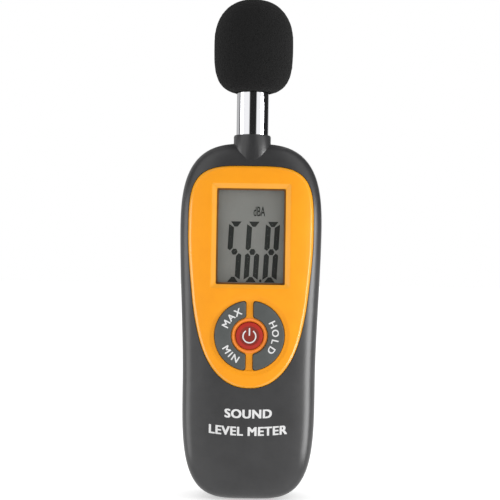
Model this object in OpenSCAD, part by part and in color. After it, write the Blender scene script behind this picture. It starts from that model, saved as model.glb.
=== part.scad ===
// Hand-held sound level meter: a slim two-part case with a coloured front panel, a small
// display, three keys, a half-inch microphone tube and a foam windscreen.
// x is to the right, y is to the rear and z is up, all in millimetres.

/* [Case] */
// Greatest width of the case
body_w = 56.3; // [50:0.1:70]
// Height of the case without the microphone collar
body_h = 141.7; // [138:0.1:175]
// Case width at the lower grip, as a share of the greatest width
waist_share = 0.936; // [0.85:0.001:1]
// Depth of the front half, from the parting plane to the face
front_depth = 12.5; // [11.8:0.1:15.5]
// Depth of the rear half, from the parting plane to the flat back
rear_depth = 19.5; // [19:0.1:24]
// Thickness of the case wall
wall = 2.2; // [1.8:0.05:2.7]

/* [Front panel] */
// Greatest width of the coloured panel
panel_w = 49.3; // [46:0.1:50]
// Distance from the top of the case to the top of the panel
panel_top_gap = 9.45; // [8:0.05:12]
// Height of the lower tip of the panel above the foot of the case
panel_foot = 45.2; // [38:0.1:50]
// Thickness of the panel
panel_t = 1.6; // [1.3:0.05:1.9]
// How far the panel stands out of the case
panel_proud = 0.4; // [0.2:0.05:0.6]

/* [Display] */
// Width of the window opening
window_w = 27.2; // [22:0.1:30]
// Height of the window opening
window_h = 37.8; // [30:0.1:40]
// Distance from the top of the case to the middle of the window
window_drop = 37.2; // [35:0.1:40]
// Width of the sloping frame around the window
window_bevel = 2; // [1:0.1:2.5]
// Thickness of the clear lens
lens_t = 1; // [0.8:0.05:1.2]

/* [Keys] */
// Height of the middle of the key ring, as a share of the case height
keys_share = 0.4637; // [0.44:0.001:0.47]
// Outer diameter of the ring made by the two curved keys
ring_d = 27.6; // [25:0.1:30]
// Inner diameter of the ring made by the two curved keys
ring_hole_d = 14.2; // [13:0.1:15.5]
// Width of the upright bars between the two curved keys
bar_w = 2.6; // [2.2:0.1:4]
// Diameter of the round power key
power_d = 10.6; // [8.5:0.1:11]
// Gap between each key and the panel
key_gap = 0.2; // [0.1:0.01:0.3]
// How far the keys stand out of the panel
key_proud = 0.3; // [0.1:0.05:0.6]
// Travel of the keys
key_travel = 0.5; // [0.3:0.05:0.6]

/* [Microphone] */
// Outer diameter of the microphone tube
tube_d = 12.7; // [10:0.05:12.9]
// Wall of the microphone tube
tube_wall = 0.85; // [0.6:0.05:1]
// Height of the tube end above the top of the case
tube_rise = 36.5; // [30:0.1:44]
// Diameter of the collar that grips the tube
collar_d = 14.8; // [14.6:0.1:16]
// Height of the collar above the top of the case
collar_rise = 3.3; // [2.5:0.1:6]
// Greatest diameter of the foam windscreen
screen_d = 31.8; // [28:0.1:40]
// Height of the foam windscreen
screen_h = 37.8; // [33:0.1:46]
// Radial gap between the tube and the windscreen
screen_gap = 0.06; // [0.03:0.01:0.1]

/* [Battery compartment] */
// Width of the battery
battery_w = 26.5; // [25:0.1:26.6]
// Depth of the battery
battery_d = 17.5; // [15:0.1:17.6]
// Height of the battery without its terminals
battery_h = 46.4; // [40:0.1:47]
// Thickness of the battery door
door_t = 1.8; // [1.5:0.05:2]
// Gap around the battery door
door_gap = 0.15; // [0.1:0.01:0.25]

/* [Tripod thread] */
// Diameter of the bore of the tripod insert
tripod_bore_d = 5.6; // [5:0.05:6.4]
// Depth of the bore of the tripod insert
tripod_bore_h = 7.5; // [6:0.1:8]

/* [Hidden] */
$fn = 64;
eps = 0.01;
half_w = body_w / 2;
grip_w = half_w * waist_share;

// Outline of the case seen from the front
waist_z = 46.3;
shoulder_z = 110;
top_run = 36.7;
top_power = 3.05;
foot_run = 46.8;
foot_power = 3.64;

// Roundness of the front half
front_power = 3.4;
front_top_run = 36;
front_top_power = 2;
front_foot_run = 30;
front_foot_power = 2.2;

// Roundness of the rear half, which ends in a flat back
rear_over = 2.5;
rear_blend = 1;
rear_power = 3.5;
rear_top_run = 30;
rear_top_power = 2.2;
rear_foot_run = 14;
rear_foot_power = 2.5;

// Outline of the panel
panel_z1 = 63.6;
panel_z2 = 105.4;
panel_low_share = 0.8815;
panel_top_run = 26.8;
panel_top_power = 3.93;
panel_foot_run = 36.4;
panel_foot_power = 2.2;
panel_top = body_h - panel_top_gap;
panel_edge = 0.6;
panel_clear = 0.15;
pocket_d = panel_t - panel_proud;
seat_gap = 0.03;

// Stations along the height and around the section of the case
rows_cap = 11;
rows_mid = 5;
cols = 20;
panel_cols = 18;
end_angle = 2.5;

// Main levels from front to back
lens_y = -front_depth + 3.7;
lcd_y = lens_y + lens_t + 0.1;
glass_t = 1.1;
glass_back = lcd_y + glass_t;
board_t = 1.6;
board_y = lcd_y + 3.9;
board_back = board_y + board_t;

// Window, lens and display
window_z = body_h - window_drop;
lens_margin = 0.8;
lens_w = window_w + 2 * lens_margin;
lens_h = window_h + 2 * lens_margin;
rim_wall = 1.5;
part_gap = 0.1;
glass_w = lens_w;
glass_h = lens_h - 0.6;
glass_ledge = 3;
strip_w = glass_w - 2.4;
strip_d = 2;
reflector_t = 0.2;
bevel_drop = 0.55;
bevel_share = 0.7;
window_r = 0.8;
slip = 0.02;
glass_room = 0.3;
rim_back = 1.4;
// The display frame gives way when the case wall grows
frame_wall = 3.6 - wall;

// Keys
keys_z = body_h * keys_share;
ring_r = ring_d / 2;
ring_hole_r = ring_hole_d / 2;
ring_mid = (ring_r + ring_hole_r) / 2;
key_top = -front_depth - panel_proud - key_proud;
flange_y = -front_depth + pocket_d + 0.5;
flange_t = 1;
flange_lip = 0.8;
power_lip = 0.45;
stem_r = 1.6;
corner_r = 1;
crown_t = 0.4;
crown_in = 0.3;
power_drop = 0.5;
key_hole_r = ring_r + flange_lip + 0.8;
panel_ring_in = power_d / 2 + key_gap;
switch_w = 6;
switch_t = 1.8;
switch_roof = 0.5;
plunger_r = 1.4;
plunger_up = key_travel + 0.2;
plunger_fit = 0.06;
plunger_flange = 2;
plunger_flange_t = 0.3;
plunger_room = 0.15;
stem_end = board_y - switch_t - plunger_up;

// Board
board_hw = 21.5;
board_low = 46.5;
board_high = body_h - 15.8;
board_screw_x = 18;
board_screw_z = [52, keys_z + 13.5];
board_screw_r = 1;
board_screw_l = 3.5;
board_boss_r = 2.4;
board_corner = 4;
notch_r = 4.1;
pilot_gap = 0.05;

// Chips, crystal, capacitors and shield can: place in x and z, then width and height
chip_t = 1.5;
chip_lift = 0.15;
leg_l = 1;
leg_t = 0.4;
leg_share = 0.2;
controller = [-8.5, window_z + 4, 9];
amplifier = [7.5, window_z + 17, 4, 5];
crystal_x = -13;
crystal_z = window_z + 15;
crystal_hw = 1.9;
crystal_hh = 5;
crystal_t = 3.4;
capacitor_x = 15.5;
capacitor_z = [window_z - 10, window_z - 17];
capacitor_r = 2.5;
capacitor_h = 7;
capacitor_lid = 0.4;
can_x = -1.5;
can_z = window_z + 1;
can_w = 11;
can_t = 4;
can_wall = 0.3;

// Case screws
screw_x = half_w - 8.15;
screw_low_x = grip_w - 6.77;
screw_high_z = body_h - 24.7;
screw_low_z = 26;
screw_points = [[screw_x, screw_high_z], [-screw_x, screw_high_z], [screw_low_x, screw_low_z],
                [-screw_low_x, screw_low_z]];
boss_top = 1;
boss_base = -front_depth + 4;
boss_r = 3.2;
rear_boss_r = 3.7;
screw_r = 1.4;
screw_seat = 8;
screw_tip = -5.5;
head_r = 2.6;
head_t = 2;
head_gap = 0.35;
shank_gap = 0.2;
slot_w = 0.6;
slot_l = 3.2;
slot_t = 2;
high_floor = 3;
low_floor = 4;

// Microphone and collar
tube_r = tube_d / 2;
tube_top = body_h + tube_rise;
tube_low = body_h - 14.8;
tube_flange_z = body_h - 14.2;
tube_flange_t = 1.6;
tube_flange_r = tube_r + 0.75;
tube_fit = 0.03;
collar_r = collar_d / 2;
collar_top = body_h + collar_rise;
collar_low = body_h - 15.2;
collar_step = body_h - 11.1;
collar_low_r = collar_r + 1;
collar_chamfer = 0.7;
grid_t = 2.4;
grid_skirt = 2;
grid_hole_r = 0.6;
grid_chamfer = 0.6;
grid_ring = [0.36, 0.66];
grid_step = [60, 30];
grid_wall = 0.6;
capsule_r = min(4.85, tube_r - tube_wall - 0.5);
capsule_h = 6.7;
capsule_port_r = 2.2;
capsule_port_h = 0.4;
capsule_top = tube_top - grid_skirt - 0.3;
holder_h = 8.5;
holder_lip = 1.2;
mic_lead_x = 1.6;
mic_lead_y = 0.6;
mic_lead_r = 0.45;
mic_lead_drop = 3.5;
mic_lead_bow = 1.4;

// Windscreen
screen_r = screen_d / 2;
screen_top = body_h + 57.5;
screen_low = screen_top - screen_h;
screen_mid = screen_low + screen_h * 0.527;
screen_bore = tube_top + grid_t + 1.1;
screen_up_power = 2.3;
screen_down_power = 3.4;
lobe_angle = 72;
lobe_steps = 14;
crown_steps = 18;
dimple_r = 7.6;
dimple_h = 1.7;
dimple_flare = 0.6;

// Battery compartment, measured up from the foot of the case
box_gap = 0.4;
box_wall = 1.2;
box_hw = battery_w / 2 + box_gap;
box_low = 18.6;
box_high = 76;
battery_low = box_low + 0.4;
battery_y = rear_depth - door_t - 0.05 - battery_d;
box_floor = battery_y - 0.15;
battery_high = battery_low + battery_h;
battery_r = 1.8;
stud_y = battery_y + battery_d / 2;
stud_x = 6.35;
stud_r = 2.8;
stud_h = 2.1;
socket_wall = 1.3;
socket_floor = 0.3;
snap_low = battery_high + stud_h + 0.15;
snap_t = 2;
snap_hw = 12.6;
snap_hd = 6;
snap_r = 3;
lead_r = 0.6;
lead_red_x = 3.5;
lead_black_x = 1.2;
lead_slot_hw = 5.5;
lead_slot_y = 0.8;
lead_slot_h = 2.6;
door_hw = box_hw + 1.85;
door_low = 10;
door_high = 73;
door_back = rear_depth - door_t;
seat_y = door_back - 0.1;
rim_hw = door_hw + 1.7;
tongue_x = 9;
tongue_w = 5;
tongue_y = rear_depth - 3.8;
tongue_in = 3;
tongue_out = 2;
tongue_gap = 0.4;
door_screw_z = 14;
pad_r = 3.5;
pad_y = rear_depth - 3.1;
door_screw_r = 1.45;
door_screw_tip = rear_depth - 6.4;
door_head_r = 2.5;
door_head_t = 1.2;
door_bore_r = 1.8;
door_bore_in = 0.6;
door_slot = [3, 1.2, 0.6];
grip_low = 20;
grip_step = 3;
grip_t = 1;
grip_sink = 0.4;
insert_r = 2.6;
insert_low = rear_depth - 7.3;
insert_top = rear_depth - 3.2;

// Detector chip, between the battery box and the tripod insert
detector = [-6, box_high + 7.2, 4, 8.7];

// Tripod insert
tripod_z = box_high + 10;
tripod_r = 4.6;
tripod_h = 8;
tripod_boss_r = 6;

// Calibration trimmer
trimmer_x = -13;
trimmer_z = tripod_z + 7;
trimmer_w = 6.4;
trimmer_t = 3.4;
rotor_r = 2.3;
rotor_t = 0.9;
rotor_pin_r = 1.2;
rotor_pin_l = 1.8;
rotor_pin_room = 0.05;
rotor_slot = [3.2, 0.9, 0.6];
guide_r = 3.1;
guide_bore = 2.1;
guide_end = 1.5;

// Rear label
label_hw = 14;
label_low = tripod_z + 11.5;
label_high = body_h - 19.2;
label_t = 0.25;
label_sink = 0.3;
label_r = 1.5;
label_room = 0.1;

// Sides of a wire and of small round parts
wire_sides = 10;
small_fn = 32;

// Colours
foam_c = [0.15, 0.15, 0.16];
case_c = [0.25, 0.25, 0.26];
panel_c = [0.98, 0.65, 0.12];
key_c = [0.36, 0.38, 0.39];
red_c = [0.75, 0.2, 0.15];
metal_c = [0.8, 0.8, 0.82];
brass_c = [0.8, 0.65, 0.3];
board_c = [0.1, 0.4, 0.22];
black_c = [0.08, 0.08, 0.09];
glass_c = [0.62, 0.65, 0.6];

function clamp(t, a, b) = min(b, max(a, t));
function ease(t) = t * t * (3 - 2 * t);
function cap(u, n) = pow(max(0, 1 - pow(clamp(u, 0, 1), n)), 1 / n);
function soft_min(a, b, k) = min(a, b) - pow(max(k - abs(a - b), 0), 2) / (4 * k);

// Half width of the case at height z, for a surface set in by s
function rise(z) = ease(clamp((z - waist_z) / (shoulder_z - waist_z), 0, 1));
function top_u(z, run, s) = (z - (body_h - run)) / (run - s);
function foot_u(z, run, s) = (run - z) / (run - s);
function case_w(z, s) = (grip_w + (half_w - grip_w) * rise(z) - s)
    * cap(top_u(z, top_run, s), top_power) * cap(foot_u(z, foot_run, s), foot_power);

// Depth of the front half and of the rear half at height z
function front_d(z, s) = (front_depth - s) * cap(top_u(z, front_top_run, s), front_top_power)
    * cap(foot_u(z, front_foot_run, s), front_foot_power);
function rear_d(z, s) = (rear_depth + rear_over - s) * cap(top_u(z, rear_top_run, s), rear_top_power)
    * cap(foot_u(z, rear_foot_run, s), rear_foot_power);

// The front surface as a depth over x and z
function front_y(x, z) = -front_d(z, 0) * cap(abs(x) / max(case_w(z, 0), eps), front_power);

// Heights of the stations, close together towards both ends
function row_angle(i) = end_angle + (90 - end_angle) * i / rows_cap;
function foot_rows(s, run, n) = [for (i = [0:rows_cap - 1]) run - (run - s) * pow(cos(row_angle(i)), 2 / n)];
function top_rows(s, h, run, n) = [for (i = [rows_cap - 1:-1:0])
    h - run + (run - s) * pow(cos(row_angle(i)), 2 / n)];
function mid_rows(a, b) = [for (i = [0:rows_mid]) a + (b - a) * i / rows_mid];
function case_rows(s) = concat(foot_rows(s, foot_run, foot_power), mid_rows(foot_run, body_h - top_run),
    top_rows(s, body_h, top_run, top_power));

// One ring of points around half of the section, front (side -1) or rear (side 1)
function section_n(side) = side < 0 ? front_power : rear_power;
function section_d(z, s, side, q) = side < 0 ? -front_d(z, s) * q
    : soft_min(rear_d(z, s) * q, rear_depth - s, rear_blend);
function ring(z, s, side) = let(n = section_n(side)) [for (i = [0:cols]) let(a = 180 * i / cols, c = cos(a))
    [sign(c) * case_w(z, s) * pow(abs(c), 2 / n),
     i == 0 || i == cols ? 0 : section_d(z, s, side, pow(sin(a), 2 / n)), z]];

// Faces between two rows of points that start at a and b
function strip(a, b, n) = [for (i = [0:n - 1])
    each [[a + i, a + i + 1, b + i + 1], [a + i, b + i + 1, b + i]]];
function flip(f) = [for (t = f) [for (i = [len(t) - 1:-1:0]) t[i]]];

// A hollow half of the case, open at the parting plane
module half_shell(side) {
    outer = case_rows(0);
    inner = case_rows(wall);
    rows = len(outer);
    m = cols + 1;
    k = rows * m;
    last = (rows - 1) * m;
    points = concat([for (z = outer) each ring(z, 0, side)], [for (z = inner) each ring(z, wall, side)]);
    skin = [for (j = [0:rows - 2]) each strip(j * m, (j + 1) * m, cols)];
    lining = [for (j = [0:rows - 2]) each strip(k + j * m, k + (j + 1) * m, cols)];
    foot_end = [for (i = [0:cols]) i];
    top_end = [for (i = [0:cols]) last + i];
    rim = [for (j = [0:rows - 2]) each [[j * m, (j + 1) * m, k + (j + 1) * m, k + j * m],
        [k + j * m + cols, k + (j + 1) * m + cols, (j + 1) * m + cols, j * m + cols]]];
    rim_ends = [[k, k + cols, cols, 0], [last, last + cols, k + last + cols, k + last]];
    shift_up = [for (i = foot_end) k + i];
    shift_top = [for (i = top_end) k + i];
    outside = concat(skin, flip([foot_end]), [top_end]);
    faces = concat(outside, flip(lining), [shift_up], flip([shift_top]), rim, rim_ends);
    polyhedron(points = points, faces = side < 0 ? faces : flip(faces), convexity = 10);
}

// Half width of the panel outline at height z, set in by s
function panel_rise(z) = ease(clamp((z - panel_z1) / (panel_z2 - panel_z1), 0, 1));
function panel_hw(z, s) = (panel_w / 2 * (panel_low_share + (1 - panel_low_share) * panel_rise(z)) - s)
    * cap((z - (panel_top - panel_top_run)) / (panel_top_run - s), panel_top_power)
    * cap((panel_foot + panel_foot_run - z) / (panel_foot_run - s), panel_foot_power);
function panel_rows(s) = concat(
    [for (z = foot_rows(s, panel_foot_run, panel_foot_power)) panel_foot + z],
    mid_rows(panel_foot + panel_foot_run, panel_top - panel_top_run),
    top_rows(s, panel_top, panel_top_run, panel_top_power));

// A row of points across the panel; dy moves it to the rear of the case surface
function panel_row(z, s, dy) = [for (i = [0:panel_cols]) let(x = panel_hw(z, s) * cos(180 * i / panel_cols))
    [x, front_y(x, z) + dy, z]];
function edge_loop(rows, m) = concat([for (i = [0:m - 1]) i], [for (j = [1:rows - 1]) j * m + m - 1],
    [for (i = [m - 2:-1:0]) (rows - 1) * m + i], [for (j = [rows - 2:-1:1]) j * m]);

// A curved plate that follows the case surface, from depth d1 with edge inset s1, over the full
// outline at depth d2, to depth d3
module panel_plate(s, s1, d1, d2, d3) {
    front = panel_rows(s + s1);
    full = panel_rows(s);
    rows = len(full);
    m = panel_cols + 1;
    k = rows * m;
    loop = edge_loop(rows, m);
    n = len(loop);
    back = [for (z = full) each panel_row(z, s, d3)];
    mid = [for (z = full) each panel_row(z, s, d2)];
    points = concat([for (z = front) each panel_row(z, s + s1, d1)], back, [for (i = loop) mid[i]]);
    grid = [for (j = [0:rows - 2]) each strip(j * m, (j + 1) * m, panel_cols)];
    bevel = [for (i = [0:n - 1]) let(p = (i + 1) % n)
        each [[loop[i], loop[p], 2 * k + p], [loop[i], 2 * k + p, 2 * k + i]]];
    side = [for (i = [0:n - 1]) let(p = (i + 1) % n)
        each [[2 * k + i, 2 * k + p, k + loop[p]], [2 * k + i, k + loop[p], k + loop[i]]]];
    shifted = [for (t = grid) [for (i = t) k + i]];
    polyhedron(points = points, faces = concat(grid, flip(shifted), flip(bevel), flip(side)), convexity = 10);
}

// Small helpers: a bar along y, a centred box, and a flat shape in x and z given depth along y
module bar_y(x, z, y0, y1, r) {
    translate([x, y0, z])
        rotate([-90, 0, 0])
            cylinder(r = r, h = y1 - y0);
}
module box(x0, x1, y0, y1, z0, z1) {
    translate([x0, y0, z0])
        cube([x1 - x0, y1 - y0, z1 - z0]);
}
module box_x(hw, y0, y1, z0, z1) {
    box(-hw, hw, y0, y1, z0, z1);
}
module plate_y(y0, y1) {
    translate([0, y1, 0])
        rotate([90, 0, 0])
            linear_extrude(y1 - y0)
                children();
}
module soft_box_y(hw, z0, z1, y0, y1, r) {
    plate_y(y0, y1) {
        translate([-hw + r, z0])
            square([2 * (hw - r), z1 - z0]);
        translate([-hw, z0 + r])
            square([2 * hw, z1 - z0 - 2 * r]);
        for (x = [-hw + r, hw - r], z = [z0 + r, z1 - r])
            translate([x, z])
                circle(r = r);
    }
}
module soft_box_z(x, y0, y1, z0, z1, r) {
    translate([0, 0, z0])
        linear_extrude(z1 - z0) {
            translate([-x + r, y0])
                square([2 * (x - r), y1 - y0]);
            translate([-x, y0 + r])
                square([2 * x, y1 - y0 - 2 * r]);
            for (px = [-x + r, x - r], py = [y0 + r, y1 - r])
                translate([px, py])
                    circle(r = r);
        }
}

// A wire of round section through points that share one x, as a tube with mitred bends
function wire_dir(p, i) = let(last = len(p) - 1, a = p[min(i + 1, last)] - p[min(i, last - 1)],
    b = p[max(i, 1)] - p[max(i - 1, 0)], u = a / norm(a), v = b / norm(b), w = u + v) w / norm(w);
function wire_ring(p, i, r) = let(d = wire_dir(p, i), b = p[max(i, 1)] - p[max(i - 1, 0)],
    stretch = norm(b) / abs(b * d), side = cross(d, [1, 0, 0]))
    [for (k = [0:wire_sides - 1]) let(t = 360 * k / wire_sides)
        p[i] + [1, 0, 0] * r * cos(t) + side * r * sin(t) * stretch];
module wire(points, r) {
    n = wire_sides;
    last = (len(points) - 1) * n;
    rings = [for (i = [0:len(points) - 1]) each wire_ring(points, i, r)];
    skin = [for (j = [0:len(points) - 2], k = [0:n - 1]) let(a = j * n + k, b = j * n + (k + 1) % n)
        each [[a, b, b + n], [a, b + n, a + n]]];
    start = [for (k = [0:n - 1]) k];
    finish = [for (k = [n - 1:-1:0]) last + k];
    outward = [for (t = skin) [t[2], t[1], t[0]]];
    polyhedron(points = rings, faces = concat(outward, [start], [finish]), convexity = 6);
}

// Moves the model so that the mouth of the tripod thread is at the origin
module place() {
    translate([0, -rear_depth, -tripod_z])
        children();
}

// ---------- windscreen and microphone ----------

// Points on the rounded outline of the foam, above and below its widest place
function screen_up(a) = let(n = 2 / screen_up_power)
    [screen_r * pow(cos(a), n), screen_mid + (screen_top - screen_mid) * pow(sin(a), n)];
function screen_down(a) = let(n = 2 / screen_down_power)
    [screen_r * pow(cos(a), n), screen_mid - (screen_mid - screen_low) * pow(sin(a), n)];

module windscreen() {
    bore_r = tube_r + screen_gap;
    upper = [for (i = [1:crown_steps - 1]) screen_up(90 * i / crown_steps)];
    lower = [for (i = [0:lobe_steps]) screen_down(lobe_angle * (1 - i / lobe_steps))];
    lip_z = screen_low + dimple_h;
    profile = concat([[0, screen_bore], [bore_r, screen_bore], [bore_r, lip_z],
        [dimple_r, lip_z - dimple_flare]], lower, upper, [[0, screen_top]]);
    color(foam_c) place()
        rotate_extrude($fn = 96)
            polygon(profile);
}

module mic_tube() {
    inner_r = tube_r - tube_wall;
    color(metal_c) place()
        difference() {
            union() {
                translate([0, 0, tube_low])
                    cylinder(r = tube_r, h = tube_top - tube_low);
                translate([0, 0, tube_flange_z])
                    cylinder(r = tube_flange_r, h = tube_flange_t);
            }
            translate([0, 0, tube_low - 1])
                cylinder(r = inner_r, h = tube_top - tube_low + 2);
        }
}

module mic_grid() {
    inner_r = tube_r - tube_wall - tube_fit;
    color(metal_c) place()
        difference() {
            union() {
                translate([0, 0, tube_top + tube_fit])
                    cylinder(r = tube_r, h = grid_t - grid_chamfer);
                translate([0, 0, tube_top + grid_t - grid_chamfer + tube_fit])
                    cylinder(r1 = tube_r, r2 = tube_r - grid_chamfer, h = grid_chamfer);
                translate([0, 0, tube_top - grid_skirt])
                    cylinder(r = inner_r, h = grid_skirt + 1);
            }
            translate([0, 0, tube_top - grid_skirt - 1])
                cylinder(r = inner_r - grid_wall, h = grid_skirt + grid_t);
            cylinder(r = grid_hole_r, h = tube_top + 2 * grid_t, $fn = small_fn);
            for (i = [0, 1], a = [0:grid_step[i]:360 - grid_step[i]])
                rotate(a)
                    translate([tube_r * grid_ring[i], 0, tube_top])
                        cylinder(r = grid_hole_r, h = 2 * grid_t, $fn = small_fn);
        }
}

module mic_capsule() {
    color(metal_c) place()
        difference() {
            translate([0, 0, capsule_top - capsule_h])
                cylinder(r = capsule_r, h = capsule_h);
            translate([0, 0, capsule_top - capsule_port_h])
                cylinder(r = capsule_port_r, h = 1, $fn = small_fn);
        }
}

module mic_holder() {
    color(black_c) place()
        translate([0, 0, capsule_top - holder_h])
            difference() {
                cylinder(r = tube_r - tube_wall - tube_fit, h = holder_h);
                translate([0, 0, holder_h - capsule_h - part_gap])
                    cylinder(r = capsule_r + tube_fit, h = capsule_h + 1);
                translate([0, 0, -1])
                    cylinder(r = capsule_r - holder_lip, h = holder_h);
            }
}

// The leads run from the back of the capsule down the tube to the board
module mic_lead(x) {
    top = capsule_top - capsule_h - 0.05;
    place()
        wire([[x, mic_lead_y, top], [x, mic_lead_y, board_high - 0.5],
            [x, board_back + mic_lead_bow, board_high - mic_lead_drop],
            [x, board_back + 0.05, board_high - mic_lead_drop]], mic_lead_r);
}
module mic_lead_signal() {
    color(red_c) mic_lead(mic_lead_x);
}
module mic_lead_ground() {
    color(black_c) mic_lead(-mic_lead_x);
}

// ---------- case ----------

// Half of the collar that grips the tube, for the front (-1) or the rear (1), before it is bored
module half_collar(side) {
    rotate(side < 0 ? 180 : 0)
        rotate_extrude(angle = 180)
            polygon([[0, collar_low], [collar_low_r, collar_low], [collar_low_r, collar_step],
                [collar_r, collar_step + 1], [collar_r, collar_top - collar_chamfer],
                [collar_r - collar_chamfer, collar_top], [0, collar_top]]);
}
// The room taken by the tube and its flange
module tube_room() {
    translate([0, 0, collar_low - 1])
        cylinder(r = tube_r + tube_fit, h = collar_top - collar_low + 2);
    translate([0, 0, tube_flange_z - tube_fit])
        cylinder(r = tube_flange_r + tube_fit, h = tube_flange_t + 2 * tube_fit);
}

module front_case() {
    color(case_c) place()
        difference() {
            union() {
                half_shell(-1);
                half_collar(-1);
                box_x(lens_w / 2 + rim_wall, lens_y - rim_back, lens_y + lens_t + 0.05,
                    window_z - lens_h / 2 - rim_wall, window_z + lens_h / 2 + rim_wall);
                for (p = screw_points)
                    bar_y(p[0], p[1], boss_base, boss_top, boss_r);
                for (x = [-board_screw_x, board_screw_x], z = board_screw_z)
                    bar_y(x, z, boss_base, board_y, board_boss_r);
            }
            panel_plate(-panel_clear, 0, -6, -3, pocket_d);
            box_x(lens_w / 2 + part_gap, lens_y, lens_y + 3, window_z - lens_h / 2 - part_gap,
                window_z + lens_h / 2 + part_gap);
            box_x(window_w / 2 + glass_room, -front_depth - 2, lens_y + 1,
                window_z - window_h / 2 - glass_room, window_z + window_h / 2 + glass_room);
            tube_room();
            bar_y(0, keys_z, -front_depth - 2, -front_depth + wall + 1, key_hole_r);
            for (p = screw_points)
                bar_y(p[0], p[1], screw_tip - 1, boss_top + 1, screw_r + pilot_gap);
            for (x = [-board_screw_x, board_screw_x], z = board_screw_z)
                bar_y(x, z, board_y - board_screw_l - 0.5, board_y + 1, board_screw_r + pilot_gap);
        }
}

module rear_case() {
    color(case_c) place()
        difference() {
            union() {
                half_shell(1);
                half_collar(1);
                box_x(box_hw + box_wall, box_floor - box_wall, seat_y, box_low - box_wall,
                    box_high + box_wall);
                box_x(rim_hw, seat_y - 1.8, seat_y + 0.4, door_low - 1.7, door_high + 2);
                bar_y(0, door_screw_z, insert_low - 0.6, insert_top, insert_r + 1.5);
                bar_y(0, tripod_z, rear_depth - tripod_h - 1.2, rear_depth - wall + 0.5, tripod_boss_r);
                for (p = screw_points)
                    bar_y(p[0], p[1], boss_top, rear_depth - (p[1] > body_h / 2 ? high_floor : low_floor),
                        rear_boss_r);
                bar_y(trimmer_x, trimmer_z, board_back + trimmer_t + rotor_t + guide_end,
                    rear_depth - wall + 0.5, guide_r);
            }
            box_x(box_hw, box_floor, seat_y + 0.1, box_low, box_high);
            box_x(door_hw + door_gap, seat_y, rear_depth + 2, door_low - door_gap, door_high + door_gap);
            box_x(lead_slot_hw, box_floor + lead_slot_y, box_floor + lead_slot_y + lead_slot_h, box_high - 1,
                box_high + box_wall + 1);
            soft_box_y(label_hw + label_room, label_low - label_room, label_high + label_room,
                rear_depth - label_sink, rear_depth + 1, label_r + label_room);
            tube_room();
            bar_y(0, door_screw_z, insert_low, rear_depth, insert_r + seat_gap);
            bar_y(0, door_screw_z, insert_top, rear_depth, pad_r + 0.4);
            bar_y(0, tripod_z, rear_depth - tripod_h - seat_gap, rear_depth + 1, tripod_r + seat_gap);
            for (p = screw_points) {
                bar_y(p[0], p[1], 0, screw_seat + 1, screw_r + shank_gap);
                bar_y(p[0], p[1], screw_seat, rear_depth + 1, head_r + head_gap);
            }
            bar_y(trimmer_x, trimmer_z, 0, rear_depth + 1, guide_bore);
        }
}

module case_screws() {
    color(metal_c) place()
        for (p = screw_points)
            difference() {
                union() {
                    bar_y(p[0], p[1], screw_tip, screw_seat, screw_r);
                    bar_y(p[0], p[1], screw_seat, screw_seat + head_t, head_r);
                }
                for (a = [0, 90])
                    translate([p[0], screw_seat + head_t, p[1]])
                        rotate([0, a, 0])
                            cube([slot_l, slot_t, slot_w], center = true);
            }
}

module rear_label() {
    color([0.75, 0.75, 0.75]) place()
        soft_box_y(label_hw, label_low, label_high, rear_depth - label_sink,
            rear_depth - label_sink + label_t, label_r);
}

// ---------- front panel, lens and display ----------

module front_panel() {
    flare = -front_depth - panel_proud - 1;
    color(panel_c) place()
        difference() {
            panel_plate(0, panel_edge, -panel_proud, 0.1, pocket_d - seat_gap);
            soft_box_y(window_w / 2, window_z - window_h / 2, window_z + window_h / 2, flare, 0, window_r);
            for (side = [0, 1])
                mirror([side, 0, 0])
                    plate_y(flare, 0)
                        key_shape(0);
            window_flare(window_bevel);
            bar_y(0, keys_z, flare, 0, panel_ring_in);
        }
}

// The sloping frame: a shallow funnel that follows the fall of the face above and below the window
module window_flare(b) {
    tuck = 0.6;
    x0 = window_w / 2 - tuck;
    x1 = window_w / 2 + b;
    drop = bevel_drop * (1 + tuck / b) - panel_proud;
    z0 = window_z - window_h / 2;
    z1 = window_z + window_h / 2;
    rows = 5;
    inner_z = [for (i = [0:rows]) z0 + tuck + (window_h - 2 * tuck) * i / rows];
    outer_z = [for (i = [0:rows]) z0 - b * bevel_share + (window_h + b * (1 + bevel_share)) * i / rows];
    inner = [for (z = inner_z) each [[-x0, front_y(x0, z) + drop, z], [x0, front_y(x0, z) + drop, z]]];
    outer = [for (z = outer_z) let(y = front_y(x1, z) - panel_proud) each [[-x1, y, z], [x1, y, z]]];
    lid = [for (z = outer_z) each [[-x1, -front_depth - 3, z], [x1, -front_depth - 3, z]]];
    n = 2 * (rows + 1);
    floor_f = [for (i = [0:rows - 1]) let(a = 2 * i) each [[a, a + 1, a + 3], [a, a + 3, a + 2]]];
    lid_f = [for (t = floor_f) [for (i = [2:-1:0]) t[i] + 2 * n]];
    loop = concat([for (i = [0:rows]) 2 * i], [for (i = [rows:-1:0]) 2 * i + 1]);
    m = len(loop);
    wall_f = [for (i = [0:m - 1]) let(a = loop[i], c = loop[(i + 1) % m])
        each [[a, c, n + c], [a, n + c, n + a], [n + a, n + c, 2 * n + c], [n + a, 2 * n + c, 2 * n + a]]];
    polyhedron(points = concat(inner, outer, lid), faces = concat(floor_f, lid_f, wall_f), convexity = 6);
}

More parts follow.
